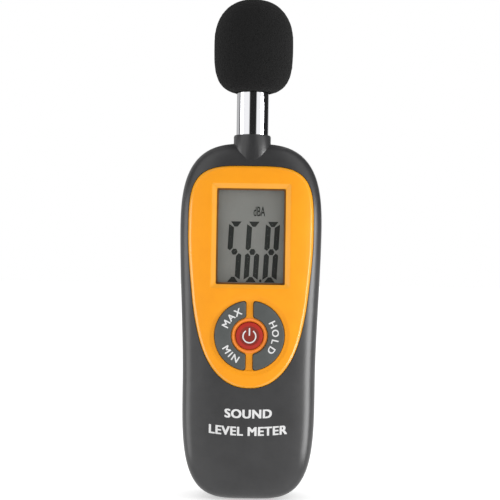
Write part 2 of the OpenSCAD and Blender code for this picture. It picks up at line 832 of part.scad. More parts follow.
module window_lens() {
    color([0.8, 0.9, 0.95]) place()
        soft_box_y(lens_w / 2, window_z - lens_h / 2, window_z + lens_h / 2, lens_y + slip, lens_y + lens_t,
            window_r / 2);
}
module lcd_front_glass() {
    color(glass_c) place()
        box_x(glass_w / 2, lcd_y, glass_back, window_z - glass_h / 2, window_z + glass_h / 2);
}
module lcd_rear_glass() {
    hh = glass_h / 2 - glass_ledge;
    color(glass_c) place()
        box_x(glass_w / 2, glass_back + slip, glass_back + glass_t, window_z - hh, window_z + hh);
}
module lcd_reflector() {
    hh = glass_h / 2 - glass_ledge;
    y0 = glass_back + glass_t + slip;
    color(metal_c) place()
        box_x(glass_w / 2, y0, y0 + reflector_t, window_z - hh, window_z + hh);
}
module lcd_strip(z) {
    place()
        box_x(strip_w / 2, glass_back + slip, board_y - slip, z - strip_d / 2, z + strip_d / 2);
}
module lcd_strip_upper() {
    color([0.9, 0.45, 0.5]) lcd_strip(window_z + glass_h / 2 - glass_ledge / 2);
}
module lcd_strip_lower() {
    color([0.9, 0.45, 0.5]) lcd_strip(window_z - glass_h / 2 + glass_ledge / 2);
}
module lcd_frame() {
    hw = glass_w / 2 + part_gap;
    hh = glass_h / 2 + part_gap;
    color([0.85, 0.85, 0.82]) place()
        difference() {
            soft_box_y(hw + frame_wall, window_z - hh - frame_wall, window_z + hh + frame_wall,
                lcd_y + glass_room, board_y - slip, window_r);
            box_x(hw, lcd_y - 1, board_y + 1, window_z - hh, window_z + hh);
        }
}

// ---------- keys ----------

function arc(cx, cz, r, a0, a1, n) = [for (i = [0:n]) let(a = a0 + (a1 - a0) * i / n)
    [cx + r * cos(a), cz + r * sin(a)]];

// Outline of the left curved key, grown by g on every side
module key_shape(g) {
    ro = ring_r + g;
    ri = ring_hole_r - g;
    xb = -(bar_w / 2 - g);
    r = corner_r;
    co = ro - r;
    ci = ri + r;
    zo = sqrt(co * co - pow(xb - r, 2));
    zi = sqrt(ci * ci - pow(xb - r, 2));
    ao = atan2(zo, xb - r);
    ai = atan2(zi, xb - r);
    translate([0, keys_z])
        polygon(concat(arc(0, 0, ro, ao, 360 - ao, 32), arc(xb - r, -zo, r, 360 - ao, 360, 5),
            arc(xb - r, -zi, r, 0, 180 - ai, 5), arc(0, 0, ri, 360 - ai, ai, 24),
            arc(xb - r, zi, r, ai - 180, 0, 5), arc(xb - r, zo, r, 0, ao, 5)));
}
module curved_key() {
    plate_y(key_top + crown_t, flange_y + eps)
        key_shape(-key_gap);
    plate_y(key_top, key_top + crown_t)
        key_shape(-key_gap - crown_in);
    plate_y(flange_y, flange_y + flange_t)
        key_shape(flange_lip);
    bar_y(-ring_mid, keys_z, flange_y + flange_t - eps, stem_end, stem_r);
}
module max_min_key() {
    color(key_c) place() curved_key();
}
module hold_key() {
    color(key_c) place()
        mirror([1, 0, 0])
            curved_key();
}
module power_key() {
    r = power_d / 2;
    color(red_c) place() {
        bar_y(0, keys_z, key_top + power_drop, flange_y + eps, r);
        translate([0, key_top + power_drop, keys_z])
            rotate([90, 0, 0])
                cylinder(r1 = r, r2 = r - power_drop, h = power_drop);
        bar_y(0, keys_z, flange_y, flange_y + flange_t, panel_ring_in + power_lip);
        bar_y(0, keys_z, flange_y + flange_t - eps, stem_end, stem_r);
    }
}

// A small board switch with a sprung plunger, below each key
module switch_at(x) {
    place()
        difference() {
            box(x - switch_w / 2, x + switch_w / 2, board_y - switch_t, board_y, keys_z - switch_w / 2,
                keys_z + switch_w / 2);
            bar_y(x, keys_z, board_y - switch_t - 1, board_y, plunger_r + plunger_fit);
            bar_y(x, keys_z, board_y - switch_t + switch_roof, board_y - part_gap,
                plunger_flange + plunger_room);
        }
}
module plunger_at(x) {
    roof_y = board_y - switch_t + switch_roof + part_gap;
    place() {
        bar_y(x, keys_z, stem_end + slip, roof_y + part_gap, plunger_r);
        bar_y(x, keys_z, roof_y, roof_y + plunger_flange_t, plunger_flange);
    }
}
module max_min_switch() {
    color(black_c) switch_at(-ring_mid);
}
module hold_switch() {
    color(black_c) switch_at(ring_mid);
}
module power_switch() {
    color(black_c) switch_at(0);
}
module max_min_plunger() {
    color(metal_c) plunger_at(-ring_mid);
}
module hold_plunger() {
    color(metal_c) plunger_at(ring_mid);
}
module power_plunger() {
    color(metal_c) plunger_at(0);
}

// ---------- board and its parts ----------

module main_board() {
    c = board_corner;
    color(board_c) place()
        difference() {
            plate_y(board_y, board_back)
                polygon([[-board_hw, board_low], [board_hw, board_low], [board_hw, board_high - c],
                    [board_hw - c, board_high], [-board_hw + c, board_high], [-board_hw, board_high - c]]);
            for (x = [-screw_x, screw_x])
                bar_y(x, screw_high_z, board_y - 1, board_back + 1, notch_r);
            for (x = [-board_screw_x, board_screw_x], z = board_screw_z)
                bar_y(x, z, board_y - 1, board_back + 1, board_screw_r + shank_gap);
        }
}
module board_screws() {
    color(metal_c) place()
        for (x = [-board_screw_x, board_screw_x], z = board_screw_z)
            difference() {
                union() {
                    bar_y(x, z, board_y - board_screw_l, board_back + slip, board_screw_r);
                    bar_y(x, z, board_back + slip, board_back + 1, board_screw_r * 1.8);
                }
                translate([x, board_back + 1, z])
                    cube([slot_l * 0.75, slot_w, slot_w], center = true);
            }
}

// A chip with a row of legs on two sides
module chip(x, z, w, h, legs, pitch) {
    body_y = board_back + chip_lift;
    place() {
        box(x - w / 2, x + w / 2, body_y, body_y + chip_t, z - h / 2, z + h / 2);
        for (i = [0:legs - 1], s = [-1, 1]) {
            lz = z + (i - (legs - 1) / 2) * pitch;
            lx = x + s * (w / 2 + leg_l / 2);
            box(lx - leg_l / 2 - part_gap, lx + leg_l / 2 + part_gap, board_back + slip, board_back + leg_t,
                lz - pitch * leg_share, lz + pitch * leg_share);
        }
    }
}
module controller_chip() {
    color(black_c) chip(controller[0], controller[1], controller[2], controller[2], 10, 0.8);
}
module amplifier_chip() {
    color(black_c) chip(amplifier[0], amplifier[1], amplifier[2], amplifier[3], 4, 1.27);
}
module detector_chip() {
    color(black_c) chip(detector[0], detector[1], detector[2], detector[3], 7, 1.1);
}
module crystal() {
    color(metal_c) place()
        translate([crystal_x, 0, crystal_z])
            soft_box_y(crystal_hw, -crystal_hh, crystal_hh, board_back + slip, board_back + crystal_t,
                crystal_hw - part_gap);
}
module capacitors() {
    color([0.2, 0.25, 0.5]) place()
        for (z = capacitor_z) {
            bar_y(capacitor_x, z, board_back + slip, board_back + capacitor_h, capacitor_r);
            bar_y(capacitor_x, z, board_back + capacitor_h, board_back + capacitor_h + capacitor_lid,
                capacitor_r - capacitor_lid);
        }
}
module shield_can() {
    color(metal_c) place()
        difference() {
            box(can_x, can_x + can_w, board_back + slip, board_back + can_t, can_z, can_z + can_w);
            box(can_x + can_wall, can_x + can_w - can_wall, board_back - 1, board_back + can_t - can_wall,
                can_z + can_wall, can_z + can_w - can_wall);
        }
}
module trimmer_body() {
    color([0.15, 0.35, 0.7]) place()
        difference() {
            box(trimmer_x - trimmer_w / 2, trimmer_x + trimmer_w / 2, board_back + slip,
                board_back + trimmer_t, trimmer_z - trimmer_w / 2, trimmer_z + trimmer_w / 2);
            bar_y(trimmer_x, trimmer_z, board_back + trimmer_t - rotor_pin_l - 0.2,
                board_back + trimmer_t + 1, rotor_pin_r + rotor_pin_room);
        }
}
module trimmer_rotor() {
    y0 = board_back + trimmer_t + 0.05;
    color([0.9, 0.9, 0.85]) place()
        difference() {
            union() {
                bar_y(trimmer_x, trimmer_z, y0, y0 + rotor_t, rotor_r);
                bar_y(trimmer_x, trimmer_z, y0 - rotor_pin_l, y0 + eps, rotor_pin_r);
            }
            for (a = [0, 90])
                translate([trimmer_x, y0 + rotor_t, trimmer_z])
                    rotate([0, a, 0])
                        cube(rotor_slot, center = true);
        }
}

// ---------- battery, its snap and leads ----------

module battery() {
    color([0.2, 0.3, 0.6]) place()
        soft_box_z(battery_w / 2, battery_y, battery_y + battery_d, battery_low, battery_high, battery_r);
}
module battery_terminals() {
    color(metal_c) place() {
        translate([-stud_x, stud_y, battery_high + slip])
            cylinder(r = stud_r, h = stud_h);
        translate([stud_x, stud_y, battery_high + slip])
            difference() {
                cylinder(r = stud_r + socket_wall, h = stud_h, $fn = 6);
                translate([0, 0, socket_floor])
                    cylinder(r = stud_r + part_gap, h = stud_h);
            }
    }
}
module battery_snap() {
    color(black_c) place()
        soft_box_z(snap_hw, stud_y - snap_hd, stud_y + snap_hd, snap_low, snap_low + snap_t, snap_r);
}
module snap_contacts() {
    color(metal_c) place() {
        translate([-stud_x, stud_y, battery_high + socket_floor])
            difference() {
                cylinder(r = stud_r + socket_wall - 0.2, h = snap_low - battery_high - socket_floor - slip);
                translate([0, 0, -1])
                    cylinder(r = stud_r + part_gap, h = stud_h + 1 - part_gap);
            }
        translate([stud_x, stud_y, battery_high + socket_floor + 0.2])
            cylinder(r = stud_r, h = snap_low - battery_high - socket_floor - 0.2 - slip);
    }
}
module snap_lead(x) {
    z0 = snap_low + snap_t + slip;
    y1 = box_floor + 2;
    z2 = box_high + 4.8;
    place()
        wire([[x, stud_y, z0], [x, stud_y, z0 + 1.8], [x, y1, box_high - 0.8], [x, y1, box_high + 2.4],
            [x, board_back + 1.6, z2], [x, board_back + 0.05, z2]], lead_r);
}
module battery_lead_red() {
    color(red_c) snap_lead(lead_red_x);
}
module battery_lead_black() {
    color(black_c) snap_lead(lead_black_x);
}

// ---------- battery door ----------

module battery_door() {
    color(case_c) place()
        difference() {
            union() {
                box_x(door_hw, door_back, rear_depth, door_low, door_high - 0.02);
                bar_y(0, door_screw_z, pad_y + 0.05, door_back + eps, pad_r);
                for (x = [-tongue_x, tongue_x]) {
                    box(x - tongue_w / 2, x + tongue_w / 2, tongue_y, door_back + eps, door_high - tongue_in,
                        door_high - tongue_gap);
                    box(x - tongue_w / 2, x + tongue_w / 2, tongue_y, door_back - tongue_gap,
                        door_high - tongue_gap - eps, door_high + tongue_out);
                }
            }
            bar_y(0, door_screw_z, 0, rear_depth + 1, door_screw_r + pilot_gap);
            bar_y(0, door_screw_z, rear_depth - door_head_t - 0.3, rear_depth + 1, door_head_r + part_gap);
            for (i = [0:3])
                box_x(6 + i, rear_depth - grip_sink, rear_depth + 1, grip_low + grip_step * i,
                    grip_low + grip_step * i + grip_t);
        }
}
module door_screw() {
    head_y = rear_depth - door_head_t - 0.25;
    color(metal_c) place()
        difference() {
            union() {
                bar_y(0, door_screw_z, head_y, head_y + door_head_t, door_head_r);
                bar_y(0, door_screw_z, door_screw_tip, head_y + eps, door_screw_r);
            }
            for (a = [0, 90])
                translate([0, head_y + door_head_t, door_screw_z])
                    rotate([0, a, 0])
                        cube(door_slot, center = true);
        }
}
module door_insert() {
    color(brass_c) place()
        difference() {
            bar_y(0, door_screw_z, insert_low + slip, insert_top, insert_r);
            bar_y(0, door_screw_z, insert_low + door_bore_in, insert_top + 1, door_bore_r);
        }
}
module tripod_insert() {
    color(brass_c) place()
        difference() {
            bar_y(0, tripod_z, rear_depth - tripod_h, rear_depth, tripod_r);
            bar_y(0, tripod_z, rear_depth - tripod_bore_h, rear_depth + 1, tripod_bore_d / 2);
        }
}

windscreen();
mic_grid();
mic_capsule();
mic_holder();
mic_tube();
mic_lead_signal();
mic_lead_ground();
front_case();
rear_case();
case_screws();
rear_label();
front_panel();
window_lens();
lcd_front_glass();
lcd_rear_glass();
lcd_reflector();
lcd_strip_upper();
lcd_strip_lower();
lcd_frame();
max_min_key();
hold_key();
power_key();
max_min_plunger();
hold_plunger();
power_plunger();
max_min_switch();
hold_switch();
power_switch();
main_board();
board_screws();
controller_chip();
amplifier_chip();
detector_chip();
crystal();
capacitors();
shield_can();
trimmer_body();
trimmer_rotor();
battery();
battery_terminals();
battery_snap();
snap_contacts();
battery_lead_red();
battery_lead_black();
battery_door();
door_screw();
door_insert();
tripod_insert();
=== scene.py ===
"""Sound level meter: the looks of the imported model, in metres, in the model's own frame."""
import bpy
import bmesh
import math
import numpy as np
from mathutils import Matrix, Vector


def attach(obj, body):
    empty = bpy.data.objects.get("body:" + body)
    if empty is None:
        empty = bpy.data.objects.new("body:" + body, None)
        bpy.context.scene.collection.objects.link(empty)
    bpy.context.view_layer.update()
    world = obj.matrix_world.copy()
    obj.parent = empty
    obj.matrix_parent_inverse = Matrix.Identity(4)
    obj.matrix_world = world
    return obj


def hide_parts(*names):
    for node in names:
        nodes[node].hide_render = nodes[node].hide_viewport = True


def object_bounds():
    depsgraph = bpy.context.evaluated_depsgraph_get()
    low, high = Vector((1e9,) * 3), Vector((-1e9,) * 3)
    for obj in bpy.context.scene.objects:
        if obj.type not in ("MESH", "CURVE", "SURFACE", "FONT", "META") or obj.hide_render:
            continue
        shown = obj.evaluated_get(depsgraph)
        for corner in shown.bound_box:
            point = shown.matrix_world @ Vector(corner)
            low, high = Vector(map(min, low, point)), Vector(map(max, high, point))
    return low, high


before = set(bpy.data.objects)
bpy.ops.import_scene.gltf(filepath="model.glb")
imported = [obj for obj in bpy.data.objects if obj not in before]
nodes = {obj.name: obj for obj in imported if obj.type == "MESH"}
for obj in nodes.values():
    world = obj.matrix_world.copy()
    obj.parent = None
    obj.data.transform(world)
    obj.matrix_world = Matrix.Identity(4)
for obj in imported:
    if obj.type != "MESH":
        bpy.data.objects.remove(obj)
cad_box = [list(c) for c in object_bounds()]
scene = bpy.context.scene

# ---------------------------------------------------------------- sizes, in millimetres
# Heights are above the foot of the case and depths are from its parting plane, front negative.
BODY_W, BODY_H, WAIST = 56.3, 141.7, 0.936
FRONT_D, REAR_D, WALL = 12.5, 19.5, 2.2
PANEL_W, PANEL_TOP, PANEL_FOOT = 49.3, 132.25, 45.2
PANEL_T, PANEL_PROUD = 1.6, 0.4
POCKET = PANEL_T - PANEL_PROUD
WINDOW_W, WINDOW_H, WINDOW_Z = 27.2, 37.8, 104.5
KEYS_Z, RING_R, RING_HOLE_R, BAR_W = 65.706, 13.8, 7.1, 2.6
KEY_GAP, KEY_TOP = 0.2, -13.2
KEY_FLANGE_Y, KEY_FLANGE_TOP = -9.8, -10.8
STEM_X, STEM_R, STEM_END = 10.45, 1.6, -6.32
LENS_EDGE_Y, DIGITS_Y = -8.79, -7.75
TUBE_R, TUBE_LOW, TUBE_TOP, TUBE_WALL = 6.35, 126.9, 178.2, 0.85
COLLAR_R, COLLAR_TOP, COLLAR_LOW = 7.4, 145.0, 126.5
SCREEN_R, SCREEN_TOP, SCREEN_LOW, SCREEN_MID = 15.9, 199.2, 161.4, 181.32
TRIPOD_Z = 86.0
TRIMMER_X, TRIMMER_Z = -13, 93
FRONT_POWER, REAR_POWER = 3.4, 3.5  # how square the two halves are in section
MM = 0.001
ORIGIN = np.array([0.0, REAR_D, TRIPOD_Z])


def place(points):
    """Case millimetres to the model's frame in metres."""
    return (np.asarray(points, float) - ORIGIN) * MM


# ---------------------------------------------------------------- the shape of the case
def ease(t):
    t = np.clip(t, 0, 1)
    return t * t * (3 - 2 * t)


def cap(u, n):
    return np.power(np.maximum(0, 1 - np.power(np.clip(u, 0, 1), n)), 1 / n)


def soft_min(a, b, k):
    return np.minimum(a, b) - np.maximum(k - np.abs(a - b), 0) ** 2 / (4 * k)


def top_u(z, run, s):
    return (z - (BODY_H - run)) / (run - s)


def foot_u(z, run, s):
    return (run - z) / (run - s)


def case_w(z, s=0.0):
    grip = BODY_W / 2 * WAIST
    side = grip + (BODY_W / 2 - grip) * ease((z - 46.3) / (110 - 46.3)) - s
    return side * cap(top_u(z, 36.7, s), 3.05) * cap(foot_u(z, 46.8, s), 3.64)


def front_d(z, s=0.0):
    return (FRONT_D - s) * cap(top_u(z, 36, s), 2) * cap(foot_u(z, 30, s), 2.2)


def rear_d(z, s=0.0):
    return (REAR_D + 2.5 - s) * cap(top_u(z, 30, s), 2.2) * cap(foot_u(z, 14, s), 2.5)


def front_y(x, z):
    return -front_d(z) * cap(np.abs(x) / np.maximum(case_w(z), 0.01), FRONT_POWER)


def panel_hw(z, s=0.0):
    share = 0.8815
    side = PANEL_W / 2 * (share + (1 - share) * ease((z - 63.6) / (105.4 - 63.6))) - s
    top = cap((z - (PANEL_TOP - 26.8)) / (26.8 - s), 3.93)
    return side * top * cap((PANEL_FOOT + 36.4 - z) / (36.4 - s), 2.2)


# ---------------------------------------------------------------- mesh helpers
def new_object(name, verts, faces, smooth=True, sharp=None):
    mesh = bpy.data.meshes.new(name)
    mesh.from_pydata([tuple(v) for v in place(verts)], [], [tuple(int(i) for i in f) for f in faces])
    mesh.validate()
    return link(name, mesh, smooth, sharp)


def link(name, mesh, smooth=True, sharp=None):
    obj = bpy.data.objects.new(name, mesh)
    scene.collection.objects.link(obj)
    finish_mesh(mesh, smooth, sharp)
    return obj


def finish_mesh(mesh, smooth=True, sharp=None):
    bm = bmesh.new()
    bm.from_mesh(mesh)
    bmesh.ops.remove_doubles(bm, verts=bm.verts, dist=1e-7)
    bmesh.ops.recalc_face_normals(bm, faces=bm.faces)
    bm.to_mesh(mesh)
    bm.free()
    mesh.polygons.foreach_set("use_smooth", [smooth] * len(mesh.polygons))
    if smooth and sharp is not None:
        mesh.set_sharp_from_angle(angle=math.radians(sharp))


def grid_faces(rows, cols, start=0, closed=False):
    wrap = cols if closed else cols - 1
    return [(start + j * cols + i, start + j * cols + (i + 1) % cols,
             start + (j + 1) * cols + (i + 1) % cols, start + (j + 1) * cols + i)
            for j in range(rows - 1) for i in range(wrap)]


def lathe(name, profile, seg=128, centre=(0, 0, 0), axis="z", sharp=35):
    """Turns (radius, height) points round an axis; a radius of 0 closes the end."""
    prof = np.array(profile, float)
    ang = np.linspace(0, 2 * math.pi, seg, endpoint=False)
    pts = []
    for r, h in prof:
        for a in ang:
            u, v = r * math.cos(a), r * math.sin(a)
            pts.append((u, v, h) if axis == "z" else (u, h, v))
    pts = np.array(pts) + np.array(centre)
    return new_object(name, pts, grid_faces(len(prof), seg, closed=True), True, sharp)


def prism_y(name, outline, y0, y1, sharp=35):
    """A closed outline of (x, z) points given depth along y."""
    n = len(outline)
    pts = [(x, y0, z) for x, z in outline] + [(x, y1, z) for x, z in outline]
    faces = [tuple(range(n)), tuple(range(2 * n - 1, n - 1, -1))]
    faces += [(i, (i + 1) % n, n + (i + 1) % n, n + i) for i in range(n)]
    return new_object(name, pts, faces, True, sharp)


def arc(cx, cz, r, a0, a1, n):
    return [(cx + r * math.cos(math.radians(a)), cz + r * math.sin(math.radians(a)))
            for a in np.linspace(a0, a1, n + 1)]


def round_rect(hw, z0, z1, r, n=8, cx=0.0):
    return (arc(cx + hw - r, z1 - r, r, 0, 90, n) + arc(cx - hw + r, z1 - r, r, 90, 180, n)
            + arc(cx - hw + r, z0 + r, r, 180, 270, n) + arc(cx + hw - r, z0 + r, r, 270, 360, n))


def bar_y(name, x, z, y0, y1, r, seg=64):
    return prism_y(name, arc(x, z, r, 0, 360 - 360 / seg, seg - 1), y0, y1)


def box(name, x0, x1, y0, y1, z0, z1):
    return prism_y(name, [(x1, z0), (x1, z1), (x0, z1), (x0, z0)], y0, y1)


def combine(obj, tools, kind="DIFFERENCE", sharp=32):
    """Cuts the tools from the object, or joins them to it, and removes them."""
    for t in tools:
        mod = obj.modifiers.new("cut", "BOOLEAN")
        mod.operation, mod.solver, mod.object = kind, "MANIFOLD", t
    bpy.context.view_layer.update()
    deps = bpy.context.evaluated_depsgraph_get()
    mesh = bpy.data.meshes.new_from_object(obj.evaluated_get(deps))
    obj.modifiers.clear()
    obj.data = mesh
    for t in tools:
        bpy.data.objects.remove(t)
    finish_mesh(mesh, True, sharp)
    return obj


# ---------------------------------------------------------------- materials
def srgb(r, g, b):
    """A colour given as 0 to 255 as seen, in linear light."""
    def lin(c):
        c /= 255
        return c / 12.92 if c <= 0.04045 else ((c + 0.055) / 1.055) ** 2.4
    return (lin(r), lin(g), lin(b), 1)


def nodes_of(name):
    mat = bpy.data.materials.new(name)
    mat.use_nodes = True
    tree = mat.node_tree
    return mat, tree, tree.nodes["Principled BSDF"]


def add(tree, kind, **values):
    node = tree.nodes.new(kind)
    for key, value in values.items():
        if hasattr(node, key):
            setattr(node, key, value)
        else:
            node.inputs[key.replace("_", " ")].default_value = value
    return node


def noise(tree, scale, detail=4.0, rough=0.55):
    coord = add(tree, "ShaderNodeTexCoord")
    tex = add(tree, "ShaderNodeTexNoise", Scale=scale, Detail=detail, Roughness=rough)
    tree.links.new(coord.outputs["Object"], tex.inputs["Vector"])
    return tex


def moulded(name, dark, light, rough=(0.38, 0.5), grain=2200.0, bump=0.06, spec=0.5, coat=0.0,
            patch=120.0):
    """Moulded plastic: slow colour drift, fine spark-eroded grain and uneven gloss."""
    mat, tree, bsdf = nodes_of(name)
    drift, fine = noise(tree, patch, 3), noise(tree, grain, 6)
    ramp = add(tree, "ShaderNodeValToRGB")
    ramp.color_ramp.elements[0].color, ramp.color_ramp.elements[1].color = dark, light
    ramp.color_ramp.elements[0].position, ramp.color_ramp.elements[1].position = 0.35, 0.65
    gloss = add(tree, "ShaderNodeMapRange", To_Min=rough[0], To_Max=rough[1])
    relief = add(tree, "ShaderNodeBump", Strength=bump, Distance=0.0002)
    link_ = tree.links.new
    link_(drift.outputs["Fac"], ramp.inputs["Fac"])
    link_(ramp.outputs["Color"], bsdf.inputs["Base Color"])
    link_(fine.outputs["Fac"], gloss.inputs["Value"])
    link_(gloss.outputs["Result"], bsdf.inputs["Roughness"])
    link_(fine.outputs["Fac"], relief.inputs["Height"])
    link_(relief.outputs["Normal"], bsdf.inputs["Normal"])
    bsdf.inputs["Specular IOR Level"].default_value = spec
    bsdf.inputs["Coat Weight"].default_value = coat
    return mat


def metal(name, dark, light, rough=(0.1, 0.2), scale=900.0, stretch=(1, 1, 1), bump=0.02):
    """Metal with fine turning or brushing lines along the stretched axes."""
    mat, tree, bsdf = nodes_of(name)
    coord = add(tree, "ShaderNodeTexCoord")
    mapping = add(tree, "ShaderNodeMapping")
    mapping.inputs["Scale"].default_value = stretch
    tex = add(tree, "ShaderNodeTexNoise", Scale=scale, Detail=5.0)
    ramp = add(tree, "ShaderNodeValToRGB")
    ramp.color_ramp.elements[0].color, ramp.color_ramp.elements[1].color = dark, light
    gloss = add(tree, "ShaderNodeMapRange", To_Min=rough[0], To_Max=rough[1])
    relief = add(tree, "ShaderNodeBump", Strength=bump, Distance=0.0001)
    link_ = tree.links.new
    link_(coord.outputs["Object"], mapping.inputs["Vector"])
    link_(mapping.outputs["Vector"], tex.inputs["Vector"])
    link_(tex.outputs["Fac"], ramp.inputs["Fac"])
    link_(ramp.outputs["Color"], bsdf.inputs["Base Color"])
    link_(tex.outputs["Fac"], gloss.inputs["Value"])
    link_(gloss.outputs["Result"], bsdf.inputs["Roughness"])
    link_(tex.outputs["Fac"], relief.inputs["Height"])
    link_(relief.outputs["Normal"], bsdf.inputs["Normal"])
    bsdf.inputs["Metallic"].default_value = 1.0
    return mat


def foam_material():
    """Open-cell foam: small dark pores between lighter webs, with a dusty sheen."""
    mat, tree, bsdf = nodes_of("foam")
    coord = add(tree, "ShaderNodeTexCoord")
    pores = add(tree, "ShaderNodeTexVoronoi", Scale=1500.0)
    soft = noise(tree, 700.0, 8, 0.7)
    ramp = add(tree, "ShaderNodeValToRGB")
    ramp.color_ramp.elements[0].color, ramp.color_ramp.elements[1].color = srgb(4, 4, 4), srgb(28, 28, 28)
    ramp.color_ramp.elements[0].position, ramp.color_ramp.elements[1].position = 0.15, 0.75
    mix = add(tree, "ShaderNodeMath", operation="MULTIPLY_ADD")
    mix.inputs[1].default_value = 0.6
    relief = add(tree, "ShaderNodeBump", Strength=0.9, Distance=0.0005)
    link_ = tree.links.new
    link_(coord.outputs["Object"], pores.inputs["Vector"])
    link_(pores.outputs["Distance"], mix.inputs[0])
    link_(soft.outputs["Fac"], mix.inputs[2])
    link_(mix.outputs["Value"], ramp.inputs["Fac"])
    link_(ramp.outputs["Color"], bsdf.inputs["Base Color"])
    link_(mix.outputs["Value"], relief.inputs["Height"])
    link_(relief.outputs["Normal"], bsdf.inputs["Normal"])
    bsdf.inputs["Roughness"].default_value = 0.95
    bsdf.inputs["Specular IOR Level"].default_value = 0.1
    bsdf.inputs["Sheen Weight"].default_value = 0.02
    return mat


def clear_material(name, tint, alpha):
    mat, tree, bsdf = nodes_of(name)
    tex = noise(tree, 60.0, 2)
    gloss = add(tree, "ShaderNodeMapRange", To_Min=0.02, To_Max=0.06)
    tree.links.new(tex.outputs["Fac"], gloss.inputs["Value"])
    tree.links.new(gloss.outputs["Result"], bsdf.inputs["Roughness"])
    bsdf.inputs["Base Color"].default_value = tint
    bsdf.inputs["Alpha"].default_value = alpha
    return mat


MATERIALS = {
    "foam": foam_material(),
    "case": moulded("case", srgb(46, 46, 47), srgb(52, 52, 53), (0.26, 0.38), 2400.0, 0.07, 0.6),
    "panel": moulded("panel", srgb(234, 147, 0), srgb(237, 151, 1), (0.34, 0.44), 2600.0, 0.03, 0.3),
    # The panel's edge band is given a paler orange, a painted highlight; its lower roughness and stronger
    # specular are real gloss.
    "panel_edge": moulded("panel_edge", srgb(231, 154, 26), srgb(235, 158, 30),
                          (0.2, 0.28), 2600.0, 0.03, 0.75),
    # The ring round the power key is the panel's orange made darker and redder: painted shade of its dished
    # slope and a painted red reflection of the key.
    "ring": moulded("ring", srgb(238, 132, 40), srgb(244, 140, 46), (0.45, 0.55), 2600.0, 0.04, 0.4),
    "key": moulded("key", srgb(75, 78, 77), srgb(81, 84, 83), (0.5, 0.62), 2600.0, 0.08, 0.35),
    "power": moulded("power", srgb(124, 30, 14), srgb(134, 34, 18), (0.4, 0.5), 2600.0, 0.05, 0.4),
    # The power key's raised rim is a brighter red than its middle: painted highlight.
    "power_rim_highlight": moulded("power_rim_highlight", srgb(162, 26, 10), srgb(174, 32, 12), (0.4, 0.5), 2600.0, 0.05, 0.4),
    "print": moulded("print", srgb(208, 208, 208), srgb(216, 216, 216), (0.5, 0.6), 3000.0, 0.03, 0.3),
    # Brown for the band round the window: painted shade of the recess walls.
    "window_shade": moulded("window_shade", srgb(124, 82, 36), srgb(134, 90, 42), (0.5, 0.6), 3000.0, 0.01, 0.2),
    "ink": moulded("ink", srgb(38, 40, 38), srgb(44, 46, 44), (0.5, 0.6), 3000.0, 0.01, 0.2),
    "display": moulded("display", srgb(124, 125, 121), srgb(129, 130, 126), (0.5, 0.6), 3000.0, 0.0, 0.1),
    "chrome": metal("chrome", srgb(236, 236, 240), srgb(246, 246, 248), (0.03, 0.07), 900.0, (1, 1, 12)),
    "steel": metal("steel", srgb(170, 170, 174), srgb(205, 205, 208), (0.22, 0.38)),
    "brass": metal("brass", srgb(196, 154, 72), srgb(224, 186, 104), (0.2, 0.34)),
    "black": moulded("black", srgb(22, 22, 24), srgb(34, 34, 36), (0.45, 0.6)),
    "rubber": moulded("rubber", srgb(18, 18, 18), srgb(28, 28, 28), (0.7, 0.85), 1800.0, 0.1, 0.2),
    "board": moulded("board", srgb(14, 84, 40), srgb(22, 104, 52), (0.3, 0.45), 900.0, 0.1, 0.5, 0.2),
    "red": moulded("red", srgb(168, 22, 20), srgb(190, 30, 26), (0.4, 0.5)),
    "ivory": moulded("ivory", srgb(214, 212, 200), srgb(226, 224, 212), (0.5, 0.62)),
    "strip": moulded("strip", srgb(216, 120, 132), srgb(228, 140, 150), (0.6, 0.7)),
    "blue": moulded("blue", srgb(26, 66, 150), srgb(36, 82, 170), (0.35, 0.45)),
    "battery": moulded("battery", srgb(34, 46, 92), srgb(44, 58, 110), (0.25, 0.35), 1400.0, 0.04, 0.5, 0.3),
    "label": moulded("label", srgb(196, 196, 192), srgb(208, 208, 204), (0.4, 0.5)),
    "lens": clear_material("lens", srgb(40, 42, 42), 0.04),
}


def paint(obj, key):
    obj.data.materials.clear()
    obj.data.materials.append(MATERIALS[key])
    obj.data.polygons.foreach_set("material_index", [0] * len(obj.data.polygons))
    return obj


# ---------------------------------------------------------------- case halves
ROWS, COLS, SEAM = 150, 84, 0.28


def stations(n, low, high):
    """Heights from low to high, close together towards both ends."""
    t = np.linspace(0.012, math.pi - 0.012, n)
    e = np.sign(-np.cos(t)) * np.abs(np.cos(t)) ** 0.8
    return low + (high - low) * (e + 1) / 2


def section(z, s, side, cols):
    n = FRONT_POWER if side < 0 else REAR_POWER
    a = np.linspace(0, math.pi, cols + 1)
    c, q = np.cos(a), np.power(np.sin(np.clip(a, 0, math.pi)), 2 / n)
    x = np.sign(c) * case_w(z, s) * np.power(np.abs(c), 2 / n)
    if side < 0:
        y = -front_d(z, s) * q
    else:
        y = soft_min(rear_d(z, s) * q, REAR_D - s, 1.0)
    groove = min(SEAM, abs(x[0]) / 4) if s == 0 else 0.0
    lip = math.copysign(min(SEAM, abs(y[1]) / 3), side)
    x = np.concatenate([[x[0] - groove], x, [x[-1] + groove]])
    y = np.concatenate([[0, lip], y[1:-1], [lip, 0]])
    return np.stack([x, y, np.full_like(x, z)], 1)


def half_shell(name, side):
    """A hollow case half, closed round its rim at the parting plane."""
    m = COLS + 3
    outer = np.concatenate([section(z, 0.0, side, COLS) for z in stations(ROWS, 0, BODY_H)])
    inner = np.concatenate([section(z, WALL, side, COLS) for z in stations(ROWS, WALL, BODY_H - WALL)])
    k = ROWS * m
    faces = grid_faces(ROWS, m) + grid_faces(ROWS, m, k)
    for a in (0, k):
        faces += [tuple(range(a, a + m)), tuple(range(a + k - m, a + k))]
    for j in range(ROWS - 1):
        p, q = j * m, (j + 1) * m
        faces += [(p, q, k + q, k + p), (p + m - 1, q + m - 1, k + q + m - 1, k + p + m - 1)]
    faces += [(0, m - 1, k + m - 1, k), (k - m, k - 1, 2 * k - 1, 2 * k - m)]
    return new_object(name, np.concatenate([outer, inner]), faces)


